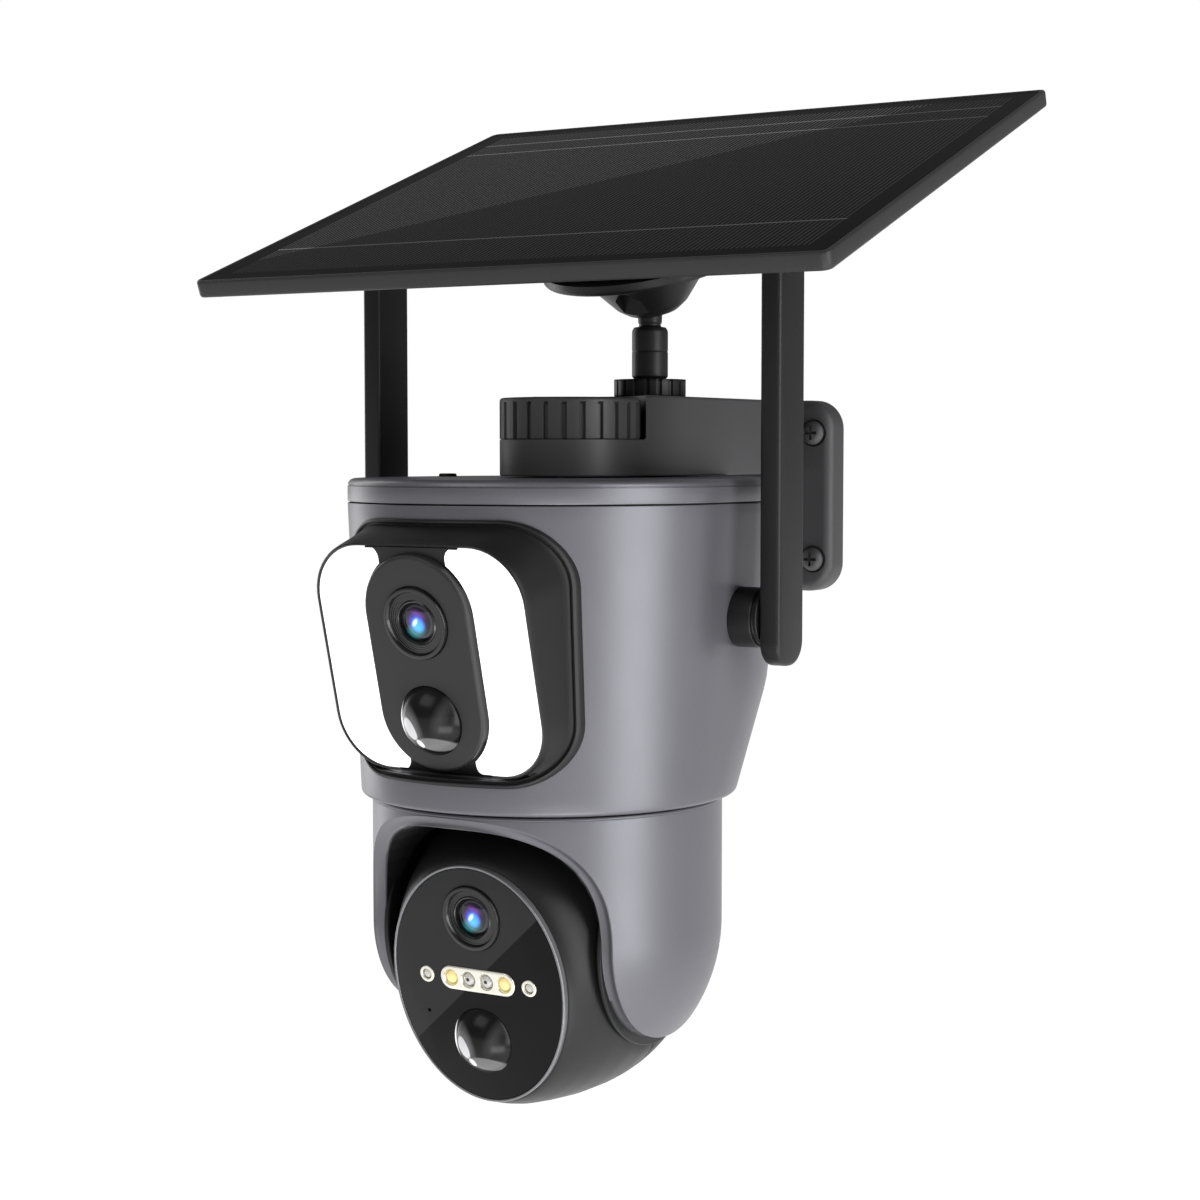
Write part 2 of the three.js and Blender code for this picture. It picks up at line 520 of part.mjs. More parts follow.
function head() {
  const shell = cut(headSolid(0), headSolid(HEAD.wall));
  const faceHole = slab(eggShape(3.4), 10, 40);
  const shaftHole = alongX(rod(3.4, -40, -20));
  const bushHole = alongX(rod(6.4, 20, 40));
  const open = cut(shell, faceHole, shaftHole, bushHole);
  const frontHalf = box([-60, 60], [-60, 60], [HEAD.split, 60]);
  const rearHalf = box([-60, 60], [-60, 60], [-60, HEAD.split - GAP]);
  piece(headFace, "head_front_shell", common(open, frontHalf), BLACK);
  piece(headFace, "head_rear_shell", common(open, rearHalf), BLACK);
  const rim = cut(slab(eggShape(0), 29.3, 31), slab(eggShape(1), 20, 40));
  piece(headFace, "face_rim", rim, RIM);
  const holes = [
    rod(8.3, 20, 40).translate(0, HEAD_LENS_V, 0),
    rod(8.1, 20, 40).translate(0, HEAD_PIR_V, 0),
    slab(pill(3.1, -7.7, 7.7), 20, 40).rotateZ(Math.PI / 2),
    ...[-14.66, 14.66].map((x) => rod(2.2, 20, 40, 10).translate(x, 0, 0)),
    rod(0.5, 20, 40, 6).translate(-15.1, -9.3, 0),
  ];
  piece(headFace, "face_glass", cut(slab(eggShape(1.3), 29.3, 30.8), ...holes), GLASS);
  piece(headFace, "head_lens_barrel", lensBarrel(8, 31.4, 19).translate(0, HEAD_LENS_V, 0), BLACK);
  piece(headFace, "head_lens_glass", dome(5.2, 1.6, 26.2, 25.2).translate(0, HEAD_LENS_V, 0), LENS);
  piece(headFace, "head_motion_sensor_dome", dome(7.6, 4.4, 30.9, 26.5).translate(0, HEAD_PIR_V, 0), GLASS);
  piece(headFace, "led_bar_cover", slab(pill(2.8, -7.7, 7.7), 29.6, 31.2).rotateZ(Math.PI / 2), CLEAR);
  const emitters = [-7.5, -2.5, 2.5, 7.5].map((x) => rod(1.9, 26.6, 29.2, 10).translate(x, 0, 0));
  piece(headFace, "led_board", join(box([-17, 17], [-5.5, 5.5], [25.4, 27]), ...emitters), BOARD);
  for (const [side, x] of [["left", -14.66], ["right", 14.66]]) {
    piece(headFace, `side_led_${side}`, dome(1.9, 0.8, 30.9, 27.4, 10).translate(x, 0, 0), CLEAR);
  }
  piece(headFace, "camera_board", box([-17, 17], [-20, 24], [16.8, 18.4]), BOARD);
  piece(headFace, "tilt_motor", cut(alongX(rod(10, -26, -12.5)), alongX(rod(3.4, -30, -22))), STEEL);
}

// ---------- solar panel on its ball joint ----------
function ballStem() {
  const neck = 3.18;
  const meet = Math.sqrt(BALL.r ** 2 - neck ** 2);
  const profile = [[0, 88.6], [3, 88.6], [3, 102.1], [4.2, 102.1], [4.72, 102.6], [4.72, 114.6],
    [4, 115.6], [2.8, 115.7], [2.8, 116.3], [neck, 116.4]];
  const start = Math.asin(-meet / BALL.r);
  for (let i = 0; i <= 7; i += 1) {
    const angle = start + (i / 7) * (Math.PI / 2 - start);
    profile.push([Math.max(BALL.r * Math.cos(angle), 0), BALL.z + BALL.r * Math.sin(angle)]);
  }
  piece(camera, "ball_stem", turned(profile, 20).translate(0, BALL.y, 0), BLACK);
}

// Half a circle's edge from angle a0 to a1 in degrees, as [radius, height] points about the ball.
function sphereEdge(r, a0, a1, steps) {
  const points = [];
  for (let i = 0; i <= steps; i += 1) {
    const angle = radians(a0 + ((a1 - a0) * i) / steps);
    points.push([Math.max(r * Math.cos(angle), 0), r * Math.sin(angle)]);
  }
  return points;
}

function ballSocket() {
  const inside = sphereEdge(BALL.r + GAP, -37, 90, 6);
  const outside = sphereEdge(BALL.r + 2.2, 90, -26, 6);
  piece(panelHead, "socket_liner", turned([...inside, ...outside, inside[0]], 20), RUBBER);
  const profile = [[5.8, -4.6], [6.6, -5.4], [9.4, -3.4], [17.2, 6.4], [26.4, 6.6], [27, 7.2], [27, 9.4],
    [0, 9.4], ...sphereEdge(BALL.r + 2.5, 90, -29, 7), [5.8, -4.6]];
  const notch = slab(outline([[-3.7, -8], [3.7, -8], [3.7, 1], [0, 4.4], [-3.7, 1]]), 8.8, 24).rotateX(Math.PI / 2);
  piece(panelHead, "socket_cone", cut(turned(profile, 32), notch), BLACK);
}

function solarPanel() {
  const { half, slope, thick, top, x, y } = PANEL;
  const bottom = top - thick;
  const at = (geometry) => geometry.translate(x, y, 0);
  const rectangle = (inset, r) => roundedRectangle(-half + inset, half - inset, -slope + inset, slope - inset, r);
  const tray = cut(slab(rectangle(0, 2), bottom, top, 0.5, 2), slab(rectangle(1.3, 1), bottom + 1.5, top + 1));
  const cableHole = rod(2.4, bottom - 1, bottom + 2).translate(0, 28, 0);
  piece(panelHead, "panel_tray", at(cut(tray, cableHole)), DARK_GREY);
  piece(panelHead, "solar_cells", at(slab(rectangle(2.2, 1), bottom + 1.8, bottom + 2.6)), CELL);
  piece(panelHead, "solar_glass", at(slab(rectangle(1.6, 1), bottom + 2.9, top - 0.15)), GLASS);
  const boss = slab(roundedRectangle(-24, 24, -22, 34, 8), 9.7, bottom - GAP, 1.2, 4);
  const bossHoles = box([-3.2, 3.2], [30, 40], [13, 19]);
  piece(panelHead, "panel_junction_box", cut(boss, bossHoles), DARK_GREY);
  const inlet = alongY(ring(1.6, 2.9, 30.4, 39, 20)).translate(0, 0, 16);
  piece(panelHead, "panel_cable_gland", inlet, RUBBER);
}

wallBracket();
wallScrews();
clampPieces();
upperHousing();
topCover();
insidePieces();
antennas();
lampHousing();
lampFront();
fork();
head();
ballStem();
ballSocket();
solarPanel();

export default camera;
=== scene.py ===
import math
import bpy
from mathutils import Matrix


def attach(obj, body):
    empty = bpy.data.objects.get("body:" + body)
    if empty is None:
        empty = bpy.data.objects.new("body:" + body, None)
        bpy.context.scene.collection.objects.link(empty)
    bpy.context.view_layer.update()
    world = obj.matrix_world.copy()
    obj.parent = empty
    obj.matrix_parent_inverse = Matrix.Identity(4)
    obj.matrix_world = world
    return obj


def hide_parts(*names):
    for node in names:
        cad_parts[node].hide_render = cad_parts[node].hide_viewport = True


bl_info = {
    "name": "Solar Security Camera",
    "version": (1, 0, 0),
    "blender": (4, 5, 0),
    "location": "View3D > Sidebar > Camera Parts",
    "description": "Builds the detailed pieces of a solar-powered pan and tilt security camera",
    "category": "Object",
}

import bmesh
import bpy
from bpy.props import FloatProperty, FloatVectorProperty, IntProperty, PointerProperty
from mathutils import Matrix, Vector

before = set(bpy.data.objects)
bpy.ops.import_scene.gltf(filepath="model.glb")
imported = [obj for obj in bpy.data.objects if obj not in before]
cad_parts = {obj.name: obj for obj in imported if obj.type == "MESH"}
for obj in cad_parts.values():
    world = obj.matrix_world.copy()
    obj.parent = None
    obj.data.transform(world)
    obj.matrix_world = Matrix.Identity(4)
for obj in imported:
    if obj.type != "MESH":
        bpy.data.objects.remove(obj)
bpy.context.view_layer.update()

# Pieces are drawn in millimetres round the vertical pan axis, with z = 0 at the bottom rim of the
# upper housing. BODY_SPACE carries that to the model's own frame in metres.
WALL_Y, PLATE_Z = 113, 70.6
BODY_SPACE = Matrix.Scale(0.001, 4) @ Matrix.Translation((0, -WALL_Y, -PLATE_Z))
LAMP_TILT = math.radians(14.2)
HEAD_LEAN = math.radians(8.7)
PANEL_TILT = math.radians(20.78)
PANEL_YAW = math.radians(2.13)
TILT_Z = -37.4
BALL = Vector((0, 49.2, 125))
PANEL_HALF = (86.3, 75.1)
PANEL_CENTRE = (0.8, -1)
LAMP_TURN = Matrix.Translation((0, -54.12, 44.39)) @ Matrix.Rotation(math.pi / 2 + LAMP_TILT, 4, "X")
LAMP_SPACE = BODY_SPACE @ LAMP_TURN
HEAD_SPACE = BODY_SPACE @ Matrix.Translation((0, 0, TILT_Z)) @ Matrix.Rotation(math.pi / 2 + HEAD_LEAN, 4, "X")
PANEL_SPACE = (BODY_SPACE @ Matrix.Translation(BALL) @ Matrix.Rotation(PANEL_YAW, 4, "Z")
               @ Matrix.Rotation(PANEL_TILT, 4, "X"))
ALONG_X = Matrix.Rotation(math.pi / 2, 4, "Y")
ALONG_Y = Matrix.Rotation(-math.pi / 2, 4, "X")


# ---------- sizes and colours ----------

class HousingSizes(bpy.types.PropertyGroup):
    """Sizes of the camera body"""
    seam_depth: FloatProperty(
        name="Seam Depth", description="Depth of the fine line round the top cover, in millimetres",
        default=0.3, min=0.05, max=1.0)
    lip_round: FloatProperty(
        name="Lip Round", description="Roundness of the fork's lip, in millimetres",
        default=0.55, min=0.1, max=1.5)
    round_steps: IntProperty(
        name="Round Steps", description="Facets round a large curved piece",
        default=128, min=48, max=256)


class PanelSizes(bpy.types.PropertyGroup):
    """Sizes of the solar panel's printed pattern"""
    finger_pitch: FloatProperty(
        name="Finger Pitch", description="Spacing of the silver fingers, in millimetres",
        default=1.25, min=0.4, max=4.0)
    border: FloatProperty(
        name="Border", description="Plain black border round the cells, in millimetres",
        default=7.0, min=2.0, max=15.0)


class FinishColours(bpy.types.PropertyGroup):
    """Colours of the main finishes"""
    body_grey: FloatVectorProperty(
        name="Body Grey", description="Satin grey of the body and fork",
        default=(0.135, 0.134, 0.15), min=0, max=1, subtype="COLOR", size=3)
    bracket_grey: FloatVectorProperty(
        name="Bracket Grey", description="Dark grey of the bracket and knob",
        default=(0.036, 0.036, 0.038), min=0, max=1, subtype="COLOR", size=3)
    black: FloatVectorProperty(
        name="Black", description="Black of the antennas, lamp and head",
        default=(0.0085, 0.0085, 0.0089), min=0, max=1, subtype="COLOR", size=3)


def housing_sizes():
    """The housing sizes of the scene's panel."""
    return bpy.context.scene.camera_housing_sizes


def panel_sizes():
    """The solar panel sizes of the scene's panel."""
    return bpy.context.scene.camera_panel_sizes


def finish_colours():
    """The finish colours of the scene's panel."""
    return bpy.context.scene.camera_finish_colours


# ---------- finishes ----------

def new_finish(name):
    """An empty node material and a helper that adds and links nodes in it."""
    material = bpy.data.materials.new(name)
    material.use_nodes = True
    tree = material.node_tree
    tree.nodes.clear()
    output = tree.nodes.new("ShaderNodeOutputMaterial")
    shader = tree.nodes.new("ShaderNodeBsdfPrincipled")
    tree.links.new(shader.outputs[0], output.inputs[0])

    def add(kind, links=None, **settings):
        node = tree.nodes.new(kind)
        for key, value in settings.items():
            if key in node.inputs and not hasattr(node, key):
                node.inputs[key].default_value = value
            else:
                setattr(node, key, value)
        for key, source in (links or {}).items():
            tree.links.new(source, node.inputs[key])
        return node

    return material, tree, shader, add


def grain_of(add, scale, detail=2.0, roughness=0.5):
    """Noise in the object's own coordinates, at a scale in cycles per metre."""
    spot = add("ShaderNodeTexCoord")
    noise = add("ShaderNodeTexNoise", {"Vector": spot.outputs["Object"]})
    noise.inputs["Scale"].default_value = scale
    noise.inputs["Detail"].default_value = detail
    noise.inputs["Roughness"].default_value = roughness
    return noise.outputs["Fac"]


def spread(add, source, low, high, from_low=0.35, from_high=0.65):
    """Maps a noise value to a range."""
    remap = add("ShaderNodeMapRange", {"Value": source})
    for key, value in (("From Min", from_low), ("From Max", from_high), ("To Min", low), ("To Max", high)):
        remap.inputs[key].default_value = value
    return remap.outputs["Result"]


def shade_between(add, factor, dark, light):
    """Mixes two colours by a factor."""
    mix = add("ShaderNodeMix", data_type="RGBA")
    mix.inputs["A"].default_value = (*dark, 1)
    mix.inputs["B"].default_value = (*light, 1)
    mix.id_data.links.new(factor, mix.inputs["Factor"])
    return mix.outputs["Result"]


def moulded_finish(name, colour, roughness, metallic=0.0, grain=2600, depth=0.03, specular=0.5, vary=0.08):
    """Moulded plastic or paint: fine grain in bump, slow change in tone and roughness."""
    material, tree, shader, add = new_finish(name)
    slow = grain_of(add, 38, 3)
    fine = grain_of(add, grain, 2, 0.6)
    tone = shade_between(add, slow, [c * (1 - vary) for c in colour], [min(c * (1 + vary), 1) for c in colour])
    speck = add("ShaderNodeMix", {"A": tone}, data_type="RGBA", blend_type="MULTIPLY")
    speck.inputs["Factor"].default_value = 0.25
    tree.links.new(shade_between(add, spread(add, fine, 0, 1), (0.78, 0.78, 0.79), (1, 1, 1)), speck.inputs["B"])
    tree.links.new(speck.outputs["Result"], shader.inputs["Base Color"])
    tree.links.new(spread(add, slow, roughness * 0.93, roughness * 1.07), shader.inputs["Roughness"])
    bump = add("ShaderNodeBump", {"Height": fine})
    bump.inputs["Strength"].default_value = 0.35
    bump.inputs["Distance"].default_value = depth / 1000
    tree.links.new(bump.outputs[0], shader.inputs["Normal"])
    shader.inputs["Metallic"].default_value = metallic
    shader.inputs["Specular IOR Level"].default_value = specular
    return material


def steel_finish(name):
    """Zinc-plated steel with fine turning marks."""
    material, tree, shader, add = new_finish(name)
    marks = grain_of(add, 900, 4, 0.7)
    zinc = shade_between(add, marks, (0.42, 0.42, 0.43), (0.62, 0.62, 0.62))
    tree.links.new(zinc, shader.inputs["Base Color"])
    tree.links.new(spread(add, marks, 0.22, 0.42), shader.inputs["Roughness"])
    shader.inputs["Metallic"].default_value = 1.0
    return material


def glossy_finish(name, colour, roughness, coat=0.0, metallic=0.0):
    """Polished piece whose tone and gloss change very slightly, with faint dust."""
    material, tree, shader, add = new_finish(name)
    slow = grain_of(add, 60, 3)
    dust = grain_of(add, 5200, 1)
    tone = shade_between(add, slow, colour, [min(c * 1.25 + 0.0004, 1) for c in colour])
    tree.links.new(tone, shader.inputs["Base Color"])
    tree.links.new(spread(add, dust, roughness, roughness * 1.3 + 0.01, 0.5, 0.8), shader.inputs["Roughness"])
    shader.inputs["Coat Weight"].default_value = coat
    shader.inputs["Metallic"].default_value = metallic
    return material


def face_glass_finish(name):
    """Black glass of the head's face: a deep black half and a slightly lighter half on a slanting line, the lighter
    half being a painted reflection.
    """
    material, tree, shader, add = new_finish(name)
    # Painted reflection: past a slanting line the black glass is painted lighter.
    split = painted_reflection_split(add, (0.898, -1.0), -0.5, 0.12)
    black = shade_between(add, split, (0.0012, 0.0012, 0.0013), (0.022, 0.022, 0.023))
    tree.links.new(black, shader.inputs["Base Color"])
    tree.links.new(spread(add, grain_of(add, 5200, 1), 0.05, 0.08, 0.5, 0.8), shader.inputs["Roughness"])
    shader.inputs["Specular IOR Level"].default_value = 0.16
    return material


def painted_reflection_split(add, direction, offset, soft):
    """Painted reflection edge: 0 on one side of a slanting line over a piece's own flat map, 1 on the other."""
    flat = add("ShaderNodeUVMap", uv_map="flat")
    apart = add("ShaderNodeSeparateXYZ", {"Vector": flat.outputs["UV"]})
    across = add("ShaderNodeMath", {0: apart.outputs["X"]}, operation="MULTIPLY")
    across.inputs[1].default_value = direction[0]
    along = add("ShaderNodeMath", {0: apart.outputs["Y"], 2: across.outputs[0]}, operation="MULTIPLY_ADD")
    along.inputs[1].default_value = direction[1]
    return spread(add, along.outputs[0], 1, 0, offset - soft, offset + soft)


def stripes(add, source, pitch, width):
    """1 on thin lines that repeat every pitch, 0 between them."""
    folded = add("ShaderNodeMath", {0: source}, operation="PINGPONG")
    folded.inputs[1].default_value = pitch / 2
    return spread(add, folded.outputs[0], 1, 0, width * 0.3, width * 0.7)


BUSBARS = (-47.6, 47.6, 58.5)


def solar_glass_finish(name):
    """Laminated black cells behind glass: fine silver fingers, thin busbars and a plain border, with a painted
    reflection that makes one side of a slanting line lighter.
    """
    material, tree, shader, add = new_finish(name)
    sizes = panel_sizes()
    half_x, half_y = PANEL_HALF[0] - sizes.border, PANEL_HALF[1] - sizes.border
    flat = add("ShaderNodeUVMap", uv_map="flat")
    apart = add("ShaderNodeSeparateXYZ", {"Vector": flat.outputs["UV"]})
    x, y = apart.outputs["X"], apart.outputs["Y"]

    def inside(source, half):
        size = add("ShaderNodeMath", {0: source}, operation="ABSOLUTE")
        return spread(add, size.outputs[0], 1, 0, half - 0.15, half + 0.15)

    def product(a, b):
        return add("ShaderNodeMath", {0: a, 1: b}, operation="MULTIPLY").outputs[0]

    cells = product(inside(x, half_x), inside(y, half_y))
    fingers = stripes(add, x, sizes.finger_pitch, 0.3)
    bars = None
    for height in BUSBARS:
        away = add("ShaderNodeMath", {0: y}, operation="SUBTRACT")
        away.inputs[1].default_value = height
        away = add("ShaderNodeMath", {0: away.outputs[0]}, operation="ABSOLUTE")
        bar = spread(add, away.outputs[0], 1, 0, 0.2, 0.42)
        bars = bar if bars is None else add("ShaderNodeMath", {0: bars, 1: bar}, operation="MAXIMUM").outputs[0]
    # Painted reflection: on one side of a slanting line the ground, fingers and busbars are painted lighter.
    split = painted_reflection_split(add, (0.92, -1.0), -15.6, 0.4)
    mixed = shade_between(add, split, (0.0002, 0.0002, 0.0002), (0.0022, 0.0022, 0.0023))
    silver = shade_between(add, split, (0.05, 0.05, 0.052), (0.15, 0.15, 0.155))
    bright = shade_between(add, split, (0.13,) * 3, (0.3,) * 3)
    for mask, colour in ((product(fingers, cells), silver), (product(bars, cells), bright)):
        layer = add("ShaderNodeMix", {"A": mixed, "B": colour, "Factor": mask}, data_type="RGBA")
        mixed = layer.outputs["Result"]
    tree.links.new(mixed, shader.inputs["Base Color"])
    tree.links.new(spread(add, grain_of(add, 1500, 2), 0.16, 0.24), shader.inputs["Roughness"])
    shader.inputs["Specular IOR Level"].default_value = 0.008
    return material


def oval(add, centre, radii, turn=0.0, soft=0.08):
    """1 inside an ellipse on a piece's own flat map, in millimetres, and 0 outside it."""
    flat = add("ShaderNodeUVMap", uv_map="flat")
    spot = add("ShaderNodeMapping", {"Vector": flat.outputs["UV"]}, vector_type="TEXTURE")
    spot.inputs["Location"].default_value = (*centre, 0)
    spot.inputs["Rotation"].default_value = (0, 0, math.radians(turn))
    spot.inputs["Scale"].default_value = (*radii, 1)
    reach = add("ShaderNodeVectorMath", {0: spot.outputs[0]}, operation="LENGTH")
    return spread(add, reach.outputs["Value"], 1, 0, 1 - soft, 1 + soft)


def add_painted_reflections(add, ground, layers):
    """Adds each (mask, colour) to a ground colour: painted reflections and highlights on glass."""
    for mask, colour in layers:
        mix = add("ShaderNodeMix", {"A": ground, "Factor": mask}, data_type="RGBA", blend_type="ADD")
        mix.inputs["B"].default_value = (*colour, 1)
        ground = mix.outputs["Result"]
    return ground


LENS_RADIUS = 4.65


def lens_painted_glow_finish(name):
    """Deep camera lens with painted reflections that glow: dark glass, painted violet and blue coating reflections, a
    painted teal crescent and a painted bright highlight at its heart.
    """
    material, tree, shader, add = new_finish(name)
    flat = add("ShaderNodeUVMap", uv_map="flat")
    reach = add("ShaderNodeVectorMath", {0: flat.outputs["UV"]}, operation="LENGTH")
    rings = add("ShaderNodeMapRange", {"Value": reach.outputs["Value"]})
    rings.inputs["From Max"].default_value = LENS_RADIUS
    # Painted coating reflections: rings from a blue heart through violet to black at the edge.
    ramp = add("ShaderNodeValToRGB", {"Fac": rings.outputs["Result"]})
    stops = ramp.color_ramp
    stops.elements[0].position, stops.elements[0].color = 0.0, (0.05, 0.1, 0.5, 1)
    stops.elements[1].position, stops.elements[1].color = 1.0, (0.004, 0.004, 0.005, 1)
    for position, colour in ((0.36, (0.04, 0.035, 0.3)), (0.5, (0.03, 0.01, 0.09)), (0.6, (0.005, 0.005, 0.01)),
                             (0.76, (0.006, 0.006, 0.01)), (0.82, (0.035, 0.035, 0.045)),
                              (0.88, (0.004, 0.004, 0.005))):
        stops.elements.new(position).color = (*colour, 1)
    # Painted reflections: a teal crescent, a blue patch, a bright white highlight at the heart and a violet streak.
    glow = add_painted_reflections(add, ramp.outputs["Color"], [
        (oval(add, (-0.7, -2.0), (2.5, 1.5), 20, 0.4), (0.006, 0.12, 0.13)),
        (oval(add, (0.35, -0.5), (1.5, 1.6), 0, 0.35), (0.02, 0.2, 0.42)),
        (oval(add, (-0.3, 0.1), (0.95, 0.45), 50, 0.5), (0.5, 0.5, 0.6)),
        (oval(add, (0.6, 2.1), (1.8, 0.6), -20, 0.6), (0.06, 0.015, 0.09)),
    ])
    tree.links.new(glow, shader.inputs["Base Color"])
    # The painted reflections also glow, though the lens is no lamp.
    tree.links.new(glow, shader.inputs["Emission Color"])
    shader.inputs["Emission Strength"].default_value = 0.6
    tree.links.new(spread(add, grain_of(add, 3000, 1), 0.03, 0.05), shader.inputs["Roughness"])
    shader.inputs["Specular IOR Level"].default_value = 0.5
    return material


def smoky_painted_glow_dome_finish(name):
    """Smoky black motion sensor dome with painted reflections that glow: pale oval facets, a painted bright crescent
    highlight at the left rim and a soft painted highlight at the right.
    """
    material, tree, shader, add = new_finish(name)
    cloud = shade_between(add, grain_of(add, 400, 2), (0.0015, 0.0015, 0.0015), (0.004, 0.004, 0.004))
    # Painted reflections: pale oval facets inside the dome, a soft highlight at the right and a bright crescent
    # highlight at the left rim.
    tone = add_painted_reflections(add, cloud, [
        (oval(add, (-2.8, 0.3), (2.7, 4.1), 24, 0.3), (0.07, 0.07, 0.072)),
        (oval(add, (-2.9, -0.6), (1.7, 2.8), 28), (0.34, 0.34, 0.35)),
        (oval(add, (2.7, -4.6), (3.8, 2.0), -14), (0.09, 0.09, 0.092)),
        (oval(add, (-0.9, -4.2), (0.9, 1.2), 20), (0.4, 0.4, 0.4)),
        (oval(add, (5.2, 2.6), (1.1, 3.2), -20, 0.9), (0.02, 0.02, 0.02)),
        (oval(add, (-6.7, 1.2), (0.8, 4.4), 12, 0.5), (0.95, 0.95, 0.95)),
    ])
    tree.links.new(tone, shader.inputs["Base Color"])
    # The painted reflections glow, though the dome is no lamp.
    tree.links.new(tone, shader.inputs["Emission Color"])
    shader.inputs["Emission Strength"].default_value = 0.7
    tree.links.new(spread(add, grain_of(add, 3000, 1), 0.2, 0.26), shader.inputs["Roughness"])
    shader.inputs["Specular IOR Level"].default_value = 0.22
    return material


def lit_finish(name, colour, strength, roughness=0.4):
    """Milky plastic or phosphor that glows."""
    material, tree, shader, add = new_finish(name)
    cloud = grain_of(add, 300, 2)
    tone = shade_between(add, cloud, [c * 0.96 for c in colour], colour)
    tree.links.new(tone, shader.inputs["Base Color"])
    tree.links.new(tone, shader.inputs["Emission Color"])
    shader.inputs["Emission Strength"].default_value = strength
    shader.inputs["Roughness"].default_value = roughness
    return material


FINISHES = {}


def finish_of(name):
    """The named finish, made the first time it is asked for."""
    if name not in FINISHES:
        colours = finish_colours()
        makers = {
            "body_grey": lambda n: moulded_finish(n, colours.body_grey, 0.4, metallic=0.55, grain=3400, vary=0.04),
            "bracket_grey": lambda n: moulded_finish(n, colours.bracket_grey, 0.5, grain=2200, depth=0.05),
            "satin_black": lambda n: moulded_finish(n, colours.black, 0.43, grain=2800, specular=0.3),
            "sensor_black": lambda n: moulded_finish(n, (0.022, 0.022, 0.023), 0.4, grain=3600, depth=0.02,
                                                     specular=0.3),
            "inner_black": lambda n: moulded_finish(n, (0.006, 0.006, 0.006), 0.6),
            "panel_frame": lambda n: moulded_finish(n, (0.026, 0.026, 0.027), 0.45, grain=2400, specular=0.25),
            "rubber": lambda n: moulded_finish(n, (0.009, 0.009, 0.009), 0.75, grain=1800, depth=0.05),
            "steel": steel_finish,
            # The next four finishes hold painted reflections; the lens and dome ones also glow with them.
            "face_glass": face_glass_finish,
            "solar_glass": solar_glass_finish,
            "coated_lens": lens_painted_glow_finish,
            "smoky_dome": smoky_painted_glow_dome_finish,
            "lens_barrel": lambda n: glossy_finish(n, (0.0032, 0.0032, 0.0036), 0.22, coat=0.12),
            "rim_grey": lambda n: moulded_finish(n, (0.2, 0.2, 0.21), 0.3, metallic=0.5),
            "white_diffuser": lambda n: lit_finish(n, (1.0, 1.0, 1.0), 1.1),
            "phosphor": lambda n: lit_finish(n, (0.85, 0.7, 0.3), 0.25, 0.2),
            "led_clear": lambda n: glossy_finish(n, (0.5, 0.49, 0.46), 0.1, coat=1.0),
            "led_tray": lambda n: glossy_finish(n, (0.72, 0.7, 0.62), 0.22, coat=0.6, metallic=0.75),
            "board_green": lambda n: moulded_finish(n, (0.015, 0.1, 0.045), 0.45),
            "battery_wrap": lambda n: glossy_finish(n, (0.03, 0.16, 0.45), 0.3),
        }
        FINISHES[name] = makers[name]("camera_" + name)
    return FINISHES[name]


# ---------- mesh making ----------

def arc(cx, cy, r, start, end, steps):
    """Points of an arc, angles in degrees."""
    return [(cx + r * math.cos(math.radians(start + (end - start) * i / steps)),
             cy + r * math.sin(math.radians(start + (end - start) * i / steps))) for i in range(steps + 1)]


def rounded_corners(points, radius, steps=4, closed=False):
    """A polyline whose corners are rounded off; its two ends stay."""
    made = []
    count = len(points)
    for i, point in enumerate(points):
        here = Vector(point)
        if not closed and i in (0, count - 1):
            made.append(tuple(here))
            continue
        before, after = Vector(points[i - 1]), Vector(points[(i + 1) % count])
        reach = min(radius, (before - here).length * 0.45, (after - here).length * 0.45)
        a = here + (before - here).normalized() * reach
        b = here + (after - here).normalized() * reach
        for k in range(steps + 1):
            t = k / steps
            made.append(tuple(a * (1 - t) ** 2 + here * 2 * t * (1 - t) + b * t ** 2))
    return made


def oblong(x0, x1, y0, y1, radii, steps=10):
    """Rounded rectangle as a function of inset.
    radii: one value, or lower right, upper right, upper left and lower left."""
    radii = radii if isinstance(radii, (list, tuple)) else [radii] * 4
    places = [(1, -1, -90), (1, 1, 0), (-1, 1, 90), (-1, -1, 180)]

    def at(inset):
        points = []
        for (sx, sy, start), radius in zip(places, radii):
            r = max(radius - inset, 0.02)
            cx = (x1 - inset - r) if sx > 0 else (x0 + inset + r)
            cy = (y1 - inset - r) if sy > 0 else (y0 + inset + r)
            points += arc(cx, cy, r, start, start + 90, steps)
        return points
    return at


def egg(half, up, down, steps=96):
    """The head's face outline as a function of inset."""
    def at(inset):
        points = []
        for i in range(steps):
            angle = 2 * math.pi * i / steps
            rise = (up if math.sin(angle) > 0 else down) - inset
            points.append(((half - inset) * math.cos(angle), rise * math.sin(angle)))
        return points
    return at


def circle(r, steps=64):
    """A circle as a function of inset."""
    return lambda inset: [(max(r - inset, 0.01) * math.cos(2 * math.pi * i / steps),
                           max(r - inset, 0.01) * math.sin(2 * math.pi * i / steps)) for i in range(steps)]


def edge_levels(z0, z1, low, high, steps=5):
    """Inset and height pairs from z0 to z1, with rounded lower and upper edges."""
    levels = []
    if low > 0:
        levels += [(low * (1 - math.sin(a)), z0 + low * (1 - math.cos(a)))
                   for a in (math.pi / 2 * i / steps for i in range(steps + 1))]
    else:
        levels.append((0, z0))
    if high > 0:
        levels += [(high * (1 - math.cos(a)), z1 - high * (1 - math.sin(a)))
                   for a in (math.pi / 2 * i / steps for i in range(steps + 1))]
    else:
        levels.append((0, z1))
    return levels


